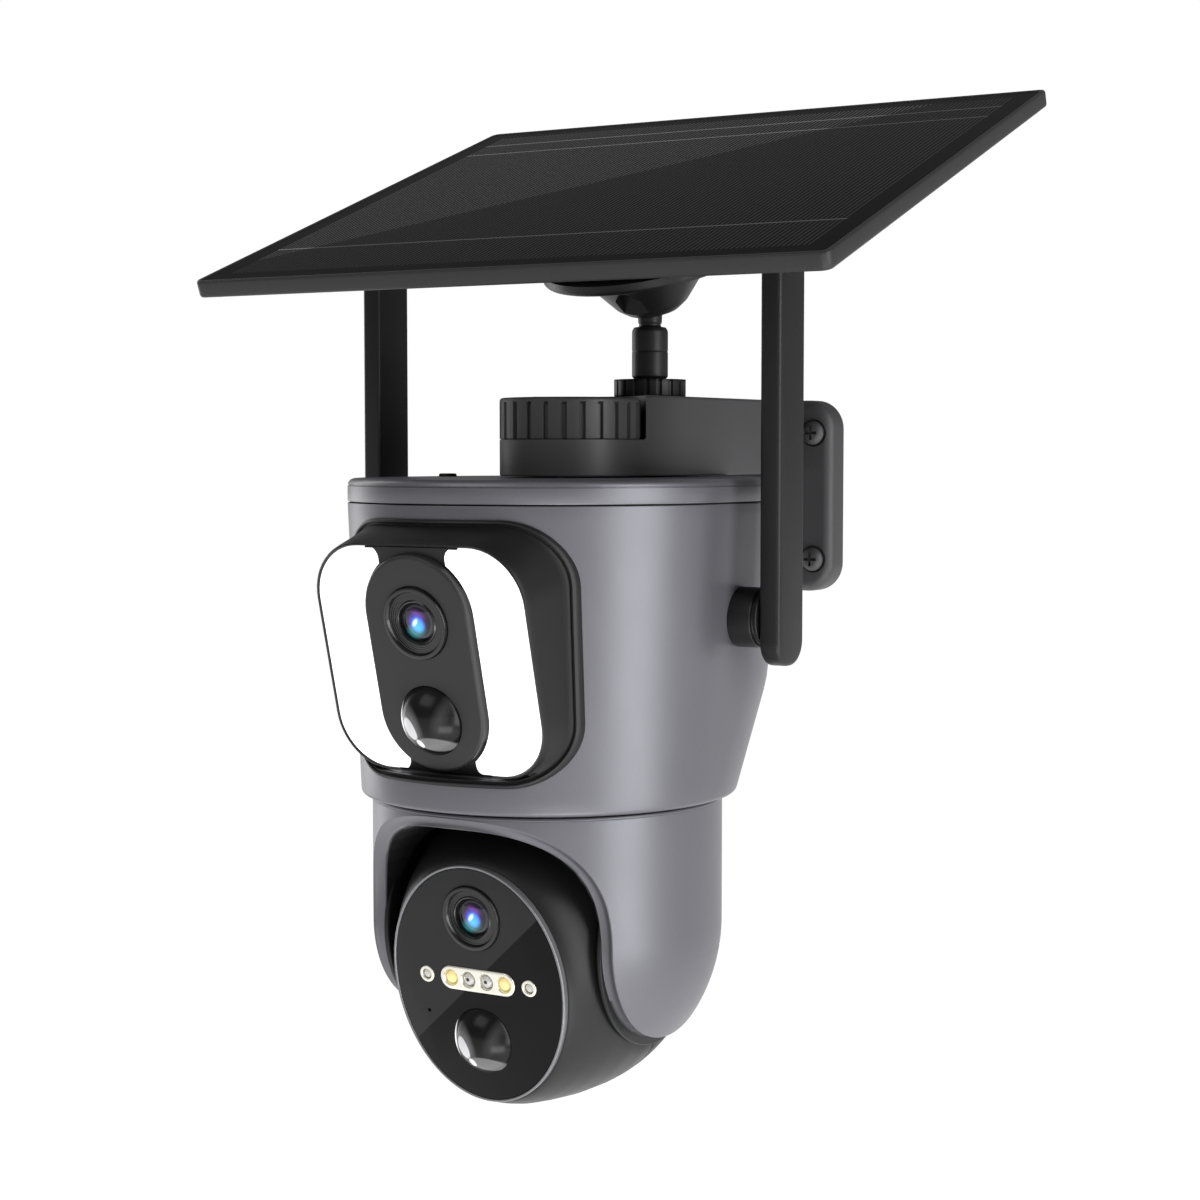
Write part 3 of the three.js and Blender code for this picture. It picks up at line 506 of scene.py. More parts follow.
def lofted(rings, cap=True, loop=False):
    """A mesh through rings of equally many 3D points. loop joins the last ring to the first."""
    bm = bmesh.new()
    rows = [[bm.verts.new(p) for p in ring] for ring in rings]
    count = len(rows[0])
    pairs = list(zip(rows, rows[1:])) + ([(rows[-1], rows[0])] if loop else [])
    for lower, upper in pairs:
        for i in range(count):
            j = (i + 1) % count
            bm.faces.new((lower[i], lower[j], upper[j], upper[i]))
    if cap and not loop:
        bm.faces.new(list(reversed(rows[0])))
        bm.faces.new(rows[-1])
    return bm


def stacked(shape, levels):
    """A closed piece whose outline shape(inset) is drawn at each inset and height pair."""
    return lofted([[(x, y, z) for x, y in shape(inset)] for inset, z in levels])


def turned(profile, steps=96, closed=False):
    """A piece turned about Z from radius and height points. It ends on the axis unless closed."""
    rings = [[(r * math.cos(2 * math.pi * i / steps), r * math.sin(2 * math.pi * i / steps), z)
              for i in range(steps)] for r, z in profile]
    bm = lofted(rings, cap=False, loop=closed)
    bmesh.ops.remove_doubles(bm, verts=bm.verts, dist=1e-4)
    return bm


def merged(*parts):
    """Several bmeshes in one."""
    whole = bmesh.new()
    for bm in parts:
        mesh = bpy.data.meshes.new("part")
        bm.to_mesh(mesh)
        bm.free()
        whole.from_mesh(mesh)
        bpy.data.meshes.remove(mesh)
    return whole


def moved(bm, matrix):
    """bm after a transform."""
    bmesh.ops.transform(bm, matrix=matrix, verts=bm.verts)
    return bm


def place(x, y, z):
    """The transform that puts a piece drawn round the origin at x, y, z."""
    return Matrix.Translation((x, y, z))


def carved(base, cutters, operation="DIFFERENCE"):
    """base with each cutter taken away, or joined to it."""
    objects = []
    for bm in (base, *cutters):
        bmesh.ops.remove_doubles(bm, verts=bm.verts, dist=1e-5)
        bmesh.ops.recalc_face_normals(bm, faces=bm.faces)
        mesh = bpy.data.meshes.new("carving")
        bm.to_mesh(mesh)
        bm.free()
        thing = bpy.data.objects.new("carving", mesh)
        bpy.context.scene.collection.objects.link(thing)
        objects.append(thing)
    for cutter in objects[1:]:
        modifier = objects[0].modifiers.new("cut", "BOOLEAN")
        modifier.operation = operation
        modifier.solver = "EXACT"
        modifier.object = cutter
    graph = bpy.context.evaluated_depsgraph_get()
    graph.update()
    result = bmesh.new()
    result.from_mesh(objects[0].evaluated_get(graph).to_mesh())
    for thing in objects:
        mesh = thing.data
        bpy.data.objects.remove(thing)
        bpy.data.meshes.remove(mesh)
    if not result.faces:
        raise RuntimeError("a cut left nothing of the piece")
    return result


def finished(name, bm, finish, body, nodes=(), space=BODY_SPACE, flat=False, sharp=32):
    """Turns a bmesh into a named piece on its body, with its finish, standing for its CAD nodes."""
    bmesh.ops.remove_doubles(bm, verts=bm.verts, dist=1e-5)
    bmesh.ops.recalc_face_normals(bm, faces=bm.faces)
    if flat:
        layer = bm.loops.layers.uv.new("flat")
        for face in bm.faces:
            for corner in face.loops:
                corner[layer].uv = corner.vert.co.xy
    moved(bm, space)
    mesh = bpy.data.meshes.new(name)
    bm.to_mesh(mesh)
    bm.free()
    for polygon in mesh.polygons:
        polygon.use_smooth = True
    mesh.set_sharp_from_angle(angle=math.radians(sharp))
    piece = bpy.data.objects.new(name, mesh)
    bpy.context.scene.collection.objects.link(piece)
    mesh.materials.append(finish_of(finish))
    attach(piece, body)
    if nodes:
        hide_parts(*nodes)
    return piece


def dress(node, finish):
    """Gives a CAD node that stays a procedural finish."""
    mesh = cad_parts[node].data
    mesh.materials.clear()
    mesh.materials.append(finish_of(finish))


# ---------- bracket and clamp ----------

ARM_BOTTOM, ARM_TOP, ARM_SEAT = 76.9, 97.0, 85.9
ARM_HALF, ARM_END_HALF, TAPER_Y, ARM_END_Y = 17.5, 15, 80, 106
KNOB_Y = 10.4
KNOB_PLACE = BODY_SPACE @ place(0, KNOB_Y, 0)
BALL_PLACE = BODY_SPACE @ place(0, BALL.y, 0)
SCREW_X, SCREW_HEIGHTS = 20, (88.2, 53.0)


def bracket_mesh():
    """The tapered arm with room for the knob, joined to the rounded wall plate."""
    def arm(inset):
        half, end = ARM_HALF - inset, ARM_END_HALF - inset
        nose = arc(0, KNOB_Y, half, 180, 360, 40)
        return [*nose, (half, TAPER_Y), (end, ARM_END_Y), (-end, ARM_END_Y), (-half, TAPER_Y)]

    beam = stacked(arm, edge_levels(ARM_BOTTOM, ARM_TOP, 0.5, 0.9))
    room = turned([(0, ARM_SEAT), (18.6, ARM_SEAT), (19, ARM_SEAT + 0.4), (19, 99), (0, 99)], 96)
    beam = carved(beam, [moved(room, place(0, KNOB_Y, 0))])
    plate = stacked(oblong(-25.6, 25.6, -26.7, 26.7, 8), edge_levels(0, 8, 0.5, 2.8, 7))
    moved(plate, place(0, WALL_Y, PLATE_Z) @ Matrix.Rotation(math.pi / 2, 4, "X"))
    body = carved(beam, [plate], "UNION")
    stem_hole = moved(turned([(0, 90), (3.3, 90), (3.3, 99), (0, 99)], 32), place(0, BALL.y, 0))
    sinks = [moved(turned([(0, -0.4), (3.9, -0.4), (3.6, 1.0), (0, 1.0)], 32), place(x, 105, z) @ ALONG_Y)
             for x, z in screw_places()]
    return carved(body, [stem_hole, *sinks])


def screw_places():
    """X and height of the four wall screws."""
    return [(x, z) for z in SCREW_HEIGHTS for x in (-SCREW_X, SCREW_X)]


def screw_mesh():
    """A round-headed wall screw with a cross slot."""
    profile = rounded_corners([(0, -2.3), (2.2, -2.0), (3.3, -0.9), (3.3, -0.05), (2, 0.05), (2, 7.3), (0, 7.3)], 0.7)
    head = turned(profile, 40)
    slots = [stacked(oblong(-a, a, -b, b, 0.1, 2), [(0, -4), (0, -1.2)]) for a, b in ((1.9, 0.4), (0.4, 1.9))]
    return carved(head, slots)


def gripped(r, depth, count, width, steps=12):
    """Round outline with count shallow grip grooves of a share width of the pitch."""
    def at(fade):
        points = []
        for i in range(count * steps):
            t = (i / steps) % 1.0
            edge = min(max((t - (1 - width)) / 0.1, 0), 1) * min(max((1 - t) / 0.1, 0), 1)
            radius = r - depth * (1 - fade) * (edge * edge * (3 - 2 * edge))
            angle = 2 * math.pi * i / (count * steps)
            points.append((radius * math.cos(angle), radius * math.sin(angle)))
        return points
    return at


def knob_mesh(r, depth, count, width, z0, z1, fade_top, centre=0.0, round_edge=0.8):
    """A gripped knob: grooves that fade out just under a rounded top edge."""
    grip = gripped(r, depth, count, width)
    rings = []
    for inset, z in edge_levels(z0, z1, 0.4, round_edge):
        fade = min(max((z - (z1 - fade_top)) / 0.5, 0), 1)
        rings.append([(x * (r - inset) / r, y * (r - inset) / r, z) for x, y in grip(fade)])
        if abs(z - (z0 + 0.4)) < 1e-6:
            rings.append([(x, y, z1 - fade_top - 0.1) for x, y in grip(0)])
            rings.append([(x, y, z1 - fade_top + 0.5) for x, y in grip(1)])
    if centre:
        rings.append([(x * 0.8, y * 0.8, z1) for x, y in grip(1)])
        rings.append([(x * 0.77, y * 0.77, z1 - centre) for x, y in grip(1)])
    return lofted(rings)


class CAMERA_OT_wall_bracket(bpy.types.Operator):
    """Build the wall plate, its arm and the four wall screws"""
    bl_idname = "security_camera.wall_bracket"
    bl_label = "Wall Bracket"

    def execute(self, context):
        finished("bracket_casting", bracket_mesh(), "bracket_grey", "camera_body", ["wall_bracket"])
        for i, (x, z) in enumerate(screw_places(), 1):
            space = BODY_SPACE @ place(x, 104.9, z) @ ALONG_Y
            finished(f"bracket_screw_{i}", screw_mesh(), "bracket_grey", "camera_body", [f"wall_screw_{i}"], space)
        return {"FINISHED"}


class CAMERA_OT_clamp(bpy.types.Operator):
    """Build the clamp knob, its stud and washer, and the lock ring of the panel's stem"""
    bl_idname = "security_camera.clamp"
    bl_label = "Clamp Knob and Lock Ring"

    def execute(self, context):
        knob = knob_mesh(ARM_HALF, 0.95, 24, 0.34, ARM_SEAT + 0.05, 96.2, 1.6, centre=0.7)
        finished("grip_knob", knob, "bracket_grey", "clamp", ["clamp_knob"], KNOB_PLACE, sharp=25)
        stud = turned(rounded_corners([(0, 70.5), (3, 70.5), (3, 95.9), (2.4, 96.4), (0, 96.4)], 0.3), 40)
        finished("clamp_stud", stud, "steel", "camera_body", ["hanger_stud"], KNOB_PLACE)
        rim = [(3.6, ARM_BOTTOM), (12, ARM_BOTTOM), (12, 78.3), (3.6, 78.3)]
        washer = turned(rounded_corners(rim, 0.2, closed=True), 64, closed=True)
        finished("clamp_washer", washer, "rubber", "camera_body", ["hanger_washer"], KNOB_PLACE)
        ring = knob_mesh(9.4, 0.55, 18, 0.36, 97.3, 101.8, 0.5, round_edge=0.5)
        finished("stem_nut", ring, "satin_black", "lock", ["stem_lock_ring"], BALL_PLACE, sharp=25)
        return {"FINISHED"}


# ---------- camera body ----------

LOW_RADIUS, TOP_RADIUS, BODY_TOP = 45.66, 48.6, 70.75
LOW_BACK, TOP_BACK, SLOPE_TOP, SLOPE_TURN = 1.4, 15.5, 27.0, 3
PORT_Z = 45
PORT_FACING = place(0, 0, PORT_Z) @ ALONG_Y
HOLLOW_RADIUS = 39.1
BUTTON_XY = (-38.6, 12.1)


def body_radius(z):
    """Radius of the housing's front half circle at height z."""
    return LOW_RADIUS + (TOP_RADIUS - LOW_RADIUS) * min(max(z, 0), BODY_TOP) / BODY_TOP


def body_back(z):
    """How far the rear half circle is moved back at height z, with a soft turn at the top of the slope."""
    slope = (TOP_BACK - LOW_BACK) / SLOPE_TOP
    if z <= SLOPE_TOP - SLOPE_TURN:
        return LOW_BACK + slope * max(z, 0)
    if z >= SLOPE_TOP + SLOPE_TURN:
        return TOP_BACK
    t = (z - SLOPE_TOP + SLOPE_TURN) / (2 * SLOPE_TURN)
    start = LOW_BACK + slope * (SLOPE_TOP - SLOPE_TURN)
    return start * (1 - t) ** 2 + TOP_BACK * 2 * t * (1 - t) + TOP_BACK * t * t


def body_ring(z, inset, back=None):
    """The housing's outline at height z, drawn in by inset."""
    steps = housing_sizes().round_steps
    r = body_radius(z) - inset
    back = body_back(z) if back is None else back
    front = arc(0, 0, r, 180, 360, steps // 2)
    rear = arc(0, back, r, 0, 180, steps // 2)
    return [(x, y, z) for x, y in (*front, *rear)]


def housing_mesh():
    """The tapered housing, with a rounded lower rim."""
    levels = edge_levels(0, BODY_TOP, 1.1, 0.25)
    low, high = levels[:6], levels[6:]
    middle = [(0, 1.1 + i * 69.0 / 24) for i in range(1, 24)]
    return lofted([body_ring(z, inset) for inset, z in (*low, *middle, *high)])


def cover_mesh():
    """The top cover, with a fine seam line under its rounded edge."""
    seam = housing_sizes().seam_depth
    levels = [(0.3, 71.05), (0.08, 71.12), (0, 71.3), (0, 74.6)]
    levels += [(0.03, 74.75), (seam, 74.85), (seam, 75.0), (0.05, 75.1)]
    quarter = [math.pi / 2 * i / 8 for i in range(1, 9)]
    levels += [(2.0 - 1.9 * math.cos(a), 75.15 + 1.45 * math.sin(a)) for a in quarter]
    return lofted([[(x, y, z) for x, y, _ in body_ring(BODY_TOP, inset, TOP_BACK)] for inset, z in levels])


def port_openings():
    """The charge port's opening and the card slot beside it, looking out of the back."""
    depth = [(0, 50), (0, 70)]
    return [stacked(oblong(-8, 2, -4, 4, 1.5), depth), stacked(oblong(5.4, 7.6, -6, 6, 0.8), depth)]


def head_hollow():
    """The shallow hollow in the housing's floor that leaves room for the tilting head."""
    around = arc(0, 0, HOLLOW_RADIUS, -90, 90, 96)[1:-1]
    return moved(turned([(0, -HOLLOW_RADIUS), *around, (0, HOLLOW_RADIUS)], 96), place(0, 0, TILT_Z))


class CAMERA_OT_housing(bpy.types.Operator):
    """Build the upper housing, its top cover, the reset button and the charge port's flap"""
    bl_idname = "security_camera.housing"
    bl_label = "Upper Housing"

    def execute(self, context):
        openings = [lamp_window(), head_hollow(), *(moved(bm, PORT_FACING) for bm in port_openings())]
        shell = carved(housing_mesh(), openings)
        finished("body_shell", shell, "body_grey", "camera_body", ["upper_housing"], sharp=40)
        finished("body_lid", cover_mesh(), "body_grey", "camera_body", ["top_cover"], sharp=40)
        gasket = lofted([body_ring(z, inset) for inset, z in ((1.2, 70.4), (1.2, 71.3))])
        finished("lid_seal", gasket, "rubber", "camera_body", ["cover_gasket"])
        button = turned(rounded_corners([(0, 72), (2.3, 72), (2.3, 77.4), (0, 77.4)], 0.5), 40)
        finished("reset_plug", button, "satin_black", "button", ["reset_button"], BODY_SPACE @ place(*BUTTON_XY, 0))
        pad = stacked(oblong(-12, 12, -9, 9, 3.4), edge_levels(50, 64.2, 0, 0.7))
        surround = carved(pad, port_openings())
        finished("port_surround", surround, "body_grey", "camera_body", (), BODY_SPACE @ PORT_FACING)
        flap = stacked(oblong(-10.6, 10.6, -7.6, 7.6, 3), edge_levels(64.5, 66.1, 0.1, 0.6))
        dimple = stacked(oblong(-6.6, 6.6, -4, 4, 2), edge_levels(65.75, 67, 0.3, 0))
        flap = carved(flap, [dimple])
        tab = stacked(oblong(-3, 3, 6.6, 10.2, 1.2), edge_levels(64.6, 65.9, 0.1, 0.4))
        finished("port_cap", merged(flap, tab), "rubber", "flap", ["port_flap"], BODY_SPACE @ PORT_FACING)
        return {"FINISHED"}


HUB_Y, HUB_Z = 12, 43.6


class CAMERA_OT_antennas(bpy.types.Operator):
    """Build the two hinged antennas and their round hubs"""
    bl_idname = "security_camera.antennas"
    bl_label = "Antennas"

    def execute(self, context):
        for side, s in (("left", -1), ("right", 1)):
            turn = Matrix.Rotation(math.pi if s < 0 else 0.0, 4, "Z")
            rim = [(0, 44), (7.2, 44), (7.2, 53.4), (6.4, 53.6), (6.4, 54.3), (7.2, 54.5), (7.2, 55.2), (0, 55.2)]
            hub = turned(rounded_corners(rim, 0.35), 72)
            space = BODY_SPACE @ place(0, HUB_Y, HUB_Z) @ turn @ ALONG_X
            finished(f"hub_{side}", hub, "satin_black", "camera_body", [f"antenna_hub_{side}"], space)
            outline = oblong(-127, -32.4, -6.5, 6.5, [6, 6, 1.6, 1.6], 12)
            blade = stacked(outline, edge_levels(55.65, 60.95, 0.9, 1.1, 4))
            space = BODY_SPACE @ place(0, HUB_Y, 0) @ turn @ ALONG_X
            finished(f"blade_{side}", blade, "satin_black", f"{side}_antenna", [f"antenna_{side}"], space, sharp=50)
        return {"FINISHED"}


# ---------- floodlight and fixed lens ----------

CORNER_STEPS, SIDE_STEPS = 14, 14
LAMP_OUTLINE = oblong(-29.4, 29.4, -37.8, 18.1, 14, CORNER_STEPS)
LAMP_FLANGE = oblong(-32.2, 32.2, 6.6, 67.6, 15, CORNER_STEPS)
DOME_DROP = 23.4


def pill(r, y0, y1, steps=40):
    """A shape with round ends at y0 and y1, as a function of inset."""
    return lambda inset: [*arc(0, y0, r - inset, 180, 360, steps), *arc(0, y1, r - inset, 0, 180, steps)]


SENSOR_PILL = pill(14.3, -21.7, 1.5)


def with_sides(points):
    """Adds evenly spaced points on the four straight sides of a rounded rectangle."""
    made = []
    group = CORNER_STEPS + 1
    for i in range(4):
        corner = points[i * group:(i + 1) * group]
        a, b = Vector(corner[-1]), Vector(points[(i + 1) * group % len(points)])
        made += corner + [tuple(a.lerp(b, k / SIDE_STEPS)) for k in range(1, SIDE_STEPS)]
    return made


def on_body(x, z, proud):
    """A point of the body's front surface at x and z, raised by proud."""
    r = body_radius(z) + proud
    return (x, -math.sqrt(max(r * r - x * x, 1.0)), z)


def lamp_shell_mesh():
    """Rounded face that sweeps back to a larger flange with a fine groove, lying on the body."""
    rings = []
    levels = [(2.4, -3.6), (1.1, -3.0), (0.85, -2.2), (0.6, -1.95), (0.3, -2.2), (0.1, -2.8), (0.0, -3.7)]
    for inset, w in levels:
        rings.append([tuple(LAMP_TURN @ Vector((x, y, w))) for x, y in with_sides(LAMP_OUTLINE(inset))])
    last = rings[-1]
    root = [on_body(x, z, 1.5) for x, z in with_sides(LAMP_FLANGE(1.9))]
    for t in (0.25, 0.5, 0.75, 0.9, 1.0):
        ease = t * t * 0.25 + t * 0.75
        rings.append([tuple(Vector(a).lerp(Vector(b), ease)) for a, b in zip(last, root)])
    groove = [(1.6, 1.15), (1.35, 0.75), (1.15, 0.8), (0.95, 1.3), (0.7, 1.45)]
    groove += [(0.3, 1.3), (0.05, 0.9), (0, 0.2), (0, -2)]
    for inset, proud in groove:
        rings.append([on_body(x, z, proud) for x, z in with_sides(LAMP_FLANGE(inset))])
    return lofted(rings)


def lamp_window():
    """The hole in the housing that the lamp fills."""
    return lofted([[tuple(LAMP_TURN @ Vector((x, y, w))) for x, y in LAMP_OUTLINE(0.6)] for w in (8, -22)])


def diffuser_mesh(side):
    """One of the two lit panels beside the sensor plate, with flared ends next to the tabs."""
    plate = stacked(oblong(-28.5, 28.5, -36.9, 17.2, 13.1, 14), edge_levels(-5.4, -1.7, 0.2, 1.3, 6))
    pill_cut = stacked(SENSOR_PILL, [(-0.7, -12), (-0.7, 6)])
    flare = [(9.4 + 2.6 * (1 - math.sqrt(1 - t * t)), t) for t in (0, 0.3, 0.6, 0.8, 0.92, 1.0)]
    right = [(x, -34.2 - 2.8 * t) for x, t in reversed(flare)] + [(x, 14.5 + 2.8 * t) for x, t in flare]
    outline = [(right[0][0], -60), *right, (right[-1][0], 40)]
    outline += [(-x, y) for x, y in reversed(outline)]
    strip = lofted([[(x, y, z) for x, y in outline] for z in (-10, 6)])
    other = stacked(oblong(*((0, 60) if side < 0 else (-60, 0)), -60, 40, 0.5, 2), [(0, -11), (0, 7)])
    return carved(plate, [pill_cut, strip, other])


def barrel_mesh(r, front):
    """Lens barrel seen from outside: rounded outer ring, flat grooved collar and an inner ring."""
    profile = [(r, front - 6), (r, front - 0.6), (r - 0.2, front - 0.15)]
    profile += [(r - 0.6, front), (r - 1.0, front - 0.05), (r - 1.3, front - 0.45)]
    radius, depth = r - 1.45, front - 0.8
    while radius > 5.8:
        profile += [(radius, depth), (radius - 0.3, depth)]
        profile += [(radius - 0.34, depth - 0.12), (radius - 0.44, depth - 0.12)]
        radius, depth = radius - 0.5, depth - 0.1
    profile += [(5.4, depth), (5.3, front - 0.95), (5.05, front - 0.8)]
    profile += [(4.8, front - 0.95), (4.6, front - 1.5), (4.6, front - 6)]
    return turned(profile, 96, closed=True)


def lens_mesh(r, height, steps=16):
    """A spherical cap of the given radius and height on a short straight edge."""
    sphere = (r * r + height * height) / (2 * height)
    angles = [math.asin(r / sphere) * (1 - i / steps) for i in range(steps + 1)]
    dome = [(sphere * math.sin(a), height - sphere * (1 - math.cos(a))) for a in angles]
    return turned([(0, -1.2), (r, -1.2), *dome], 72)


def lens_hole():
    """The room for the fixed lens's barrel."""
    return stacked(circle(8.75), [(0, -7), (0, 3)])


class CAMERA_OT_lamp(bpy.types.Operator):
    """Build the floodlight housing, its diffusers, the sensor plate, fixed lens and motion sensor dome"""
    bl_idname = "security_camera.lamp"
    bl_label = "Floodlight and Fixed Lens"

    def execute(self, context):
        body = "camera_body"
        finished("lamp_shell", lamp_shell_mesh(), "satin_black", body, ["lamp_housing"], sharp=28)
        for side, s in (("left", -1), ("right", 1)):
            finished(f"lamp_panel_{side}", diffuser_mesh(s), "white_diffuser", body,
                     [f"light_diffuser_{side}"], LAMP_SPACE)
        tabs = stacked(oblong(-13, 13, -36.9, 17.2, 0.4, 4), edge_levels(-6, -2.1, 0, 0.2))
        tabs = carved(tabs, [lens_hole()])
        finished("lamp_tabs", tabs, "satin_black", body, (), LAMP_SPACE)
        plate = stacked(SENSOR_PILL, edge_levels(-5.8, 0, 0, 0.9, 6))
        holes = [lens_hole(), moved(stacked(circle(8.4), [(0, -3), (0, 3)]), place(0, -DOME_DROP, 0))]
        finished("lamp_sensor_plate", carved(plate, holes), "sensor_black", body, ["sensor_plate"], LAMP_SPACE)
        finished("fixed_lens_barrel", barrel_mesh(8.6, 0.9), "lens_barrel", body, ["upper_lens_barrel"], LAMP_SPACE)
        finished("fixed_lens", lens_mesh(LENS_RADIUS, 1.1), "coated_lens", body, ["upper_lens_glass"],
                 LAMP_SPACE @ place(0, 0, -1.1), flat=True)
        finished("fixed_motion_dome", lens_mesh(8.2, 5.0, 24), "smoky_dome", body, ["upper_motion_sensor_dome"],
                 LAMP_SPACE @ place(0, -DOME_DROP, 0.2), flat=True)
        return {"FINISHED"}


# ---------- pan fork ----------

FORK_R, FORK_Z, SIDE = 43.0, -31.5, 34.6


def fork_edge(steps=40):
    """Half of the opening's edge on the right side, from the front arch's top round the lobe to the rear.
    Each row gives height, distance of the front edge and of the rear edge from the middle plane, and radius."""
    rows = []
    for i in range(steps + 1):
        b = math.pi / 2 * (1 - i / steps)
        z = -34 + 32.6 * math.sin(b) ** (2 / 2.8)
        x = SIDE * math.cos(b) ** (2 / 2.8)
        if z > FORK_Z + 0.2:
            rows.append((z, x))
    lobe = math.sqrt(FORK_R ** 2 - SIDE ** 2)
    for i in range(steps + 1):
        a = math.pi / 2 * i / steps
        rows.append((FORK_Z - lobe * math.sin(a), SIDE))
    made = []
    for z, x in rows:
        radius = FORK_R if z > FORK_Z else math.sqrt(max(FORK_R ** 2 - (z - FORK_Z) ** 2, SIDE ** 2))
        rise = min(max((z + 58) / 20, 0), 1)
        rear = 0.0 if z > -38 else SIDE * (1 - rise ** 2.8) ** (1 / 2.8)
        made.append((z, min(x, radius), min(rear, radius), radius))
    return made


def fork_shell_mesh(columns=72):
    """Round shell with the arch open in front, a lower arch behind and a lobe on each side."""
    bm = bmesh.new()
    rows = fork_edge()

    def sheet(inset):
        grid = []
        for side in (1, -1):
            patch = []
            for z, front, rear, radius in rows:
                start = math.asin(min(front / radius, 1))
                end = math.pi - math.asin(min(rear / radius, 1))
                line = []
                for k in range(columns + 1):
                    phi = start + (end - start) * k / columns
                    r = radius - inset
                    line.append(bm.verts.new((side * r * math.sin(phi), -r * math.cos(phi), z)))
                patch.append(line)
            grid.append(patch)
        return grid

    outer, inner = sheet(0), sheet(2.6)
    for patches, flip in ((outer, False), (inner, True)):
        for patch in patches:
            for lower, upper in zip(patch, patch[1:]):
                for k in range(columns):
                    quad = [lower[k], lower[k + 1], upper[k + 1], upper[k]]
                    bm.faces.new(quad[::-1] if flip else quad)
    for a, b in zip(outer, inner):
        for i in range(len(rows) - 1):
            open_behind = rows[i][2] > 0 or rows[i + 1][2] > 0
            for k in (0, columns) if open_behind else (0,):
                bm.faces.new((a[i][k], b[i][k], b[i + 1][k], a[i + 1][k]))
    top = [[(r * math.cos(2 * math.pi * i / 144), r * math.sin(2 * math.pi * i / 144), z) for i in range(144)]
           for r, z in ((43, -1.4), (43, -1.0), (42.8, -0.7), (42.4, -0.6), (38.3, -0.6), (38.3, -1.4))]
    ring = lofted(top, cap=False, loop=True)
    bmesh.ops.remove_doubles(bm, verts=bm.verts, dist=1e-4)
    return merged(bm, ring)


def fork_lip_mesh():
    """Smooth lip that lines the opening: it leaves the shell's edge and turns in to the black inside."""
    rows = fork_edge(56)
    loop = [(x, -math.sqrt(max(radius ** 2 - x * x, 0)), z) for z, x, _, radius in rows]
    back = [(x, math.sqrt(max(radius ** 2 - x * x, 0)), z) for z, _, x, radius in rows if z <= -38]
    right = loop + back[::-1]
    around = right + [(-x, y, z) for x, y, z in right[::-1]]
    merged_loop = []
    for p in around:
        if not merged_loop or (Vector(p) - Vector(merged_loop[-1])).length > 0.12:
            merged_loop.append(p)
    if (Vector(merged_loop[0]) - Vector(merged_loop[-1])).length < 0.12:
        merged_loop.pop()
    soft = housing_sizes().lip_round

    def row(t, sink, out):
        points = []
        for x, y, z in merged_loop:
            rise = min(max((z - FORK_Z) / 30.1, 0), 1)
            share = abs(x) / SIDE
            behind = min(max(y / 12, 0), 1)
            nx = x - math.copysign((3.7 - 1.2 * behind) * t * min(share * 1.6, 1), x)
            nz = z - 2.7 * t * rise * (1 - share ** 3)
            scale = (math.hypot(x, y) + out) / max(math.hypot(x, y), 1e-6)
            drop = math.copysign(sink * (1 - 0.7 * behind if sink > 0 else 1), y)
            ny = y * (1 - 0.012 * t) * (scale if share < 0.98 else 1 + out / 30) - drop
            points.append((nx, ny, nz))
        return points

    rings = [row(0.0, 0.9, -0.3), row(0.0, 0, 0.02), row(0.06, 0, 0.12), row(0.2, -soft * 0.5, 0.1),
             row(0.45, -soft, 0), row(0.7, -soft * 0.8, 0), row(0.9, -soft * 0.1, 0),
             row(1.0, soft * 0.7, 0), row(1.02, 2.5, 0), row(1.02, 5, 0)]
    return lofted(rings, cap=False, loop=True)


class CAMERA_OT_fork(bpy.types.Operator):
    """Build the pan fork's shell and the smooth lip round its opening"""
    bl_idname = "security_camera.fork"
    bl_label = "Pan Fork"

    def execute(self, context):
        finished("fork_skin", fork_shell_mesh(), "body_grey", "pan_fork", ["fork_shell"], sharp=40)
        finished("fork_lip", fork_lip_mesh(), "body_grey", "pan_fork", sharp=60)
        for side, s in (("left", -1), ("right", 1)):
            disc = turned(rounded_corners([(0, 29.95), (25.2, 29.95), (25.7, 30.3), (25.7, 31.3), (0, 31.3)], 0.3), 96)
            space = BODY_SPACE @ place(0, 0, -33.6) @ Matrix.Rotation(0.0 if s > 0 else math.pi, 4, "Z") @ ALONG_X
            finished(f"fork_cheek_{side}", disc, "satin_black", "pan_fork", (), space)
        dress("fork_frame", "inner_black")
        return {"FINISHED"}


# ---------- tilting head ----------

HEAD_EGG = (24.4, 28.5, 30.4)
HEAD_SECTIONS = [(2.0, 37.7, 37.7, 37.7), (6, 37.2, 37.3, 37.4), (12, 35.0, 36.2, 36.7), (18, 32.0, 34.4, 35.4),
                 (23, 29.2, 32.6, 34.0), (26.4, 27.1, 30.9, 32.6), (28.6, 25.5, 29.5, 31.4), (29.4, 24.7, 28.7, 30.7)]


def soft_clip(x, limit, soft=1.0):
    """Holds |x| under limit, with a small round where it starts to hold."""
    size = abs(x)
    h = max(soft - abs(size - limit), 0) / soft
    return math.copysign(min(size, limit) - h * h * soft * 0.25, x)


HEAD_RADIUS = 37.7


def head_ring(w, half, up, down, steps=128):
    """One ring of the head's profile."""
    points = []
    for i in range(steps):
        angle = 2 * math.pi * i / steps
        rise = up if math.sin(angle) > 0 else down
        points.append((soft_clip(half * math.cos(angle), 29.5), rise * math.sin(angle), w))
    return points


def section_at(w):
    """The head's outline at one depth."""
    if w <= 2:
        r = math.sqrt(max(HEAD_RADIUS ** 2 - w * w, 0.01))
        return r, r, r
    for a, b in zip(HEAD_SECTIONS, HEAD_SECTIONS[1:]):
        if w <= b[0]:
            t = (w - a[0]) / (b[0] - a[0])
            return tuple(p + (q - p) * t for p, q in zip(a[1:], b[1:]))
    return HEAD_SECTIONS[-1][1:]


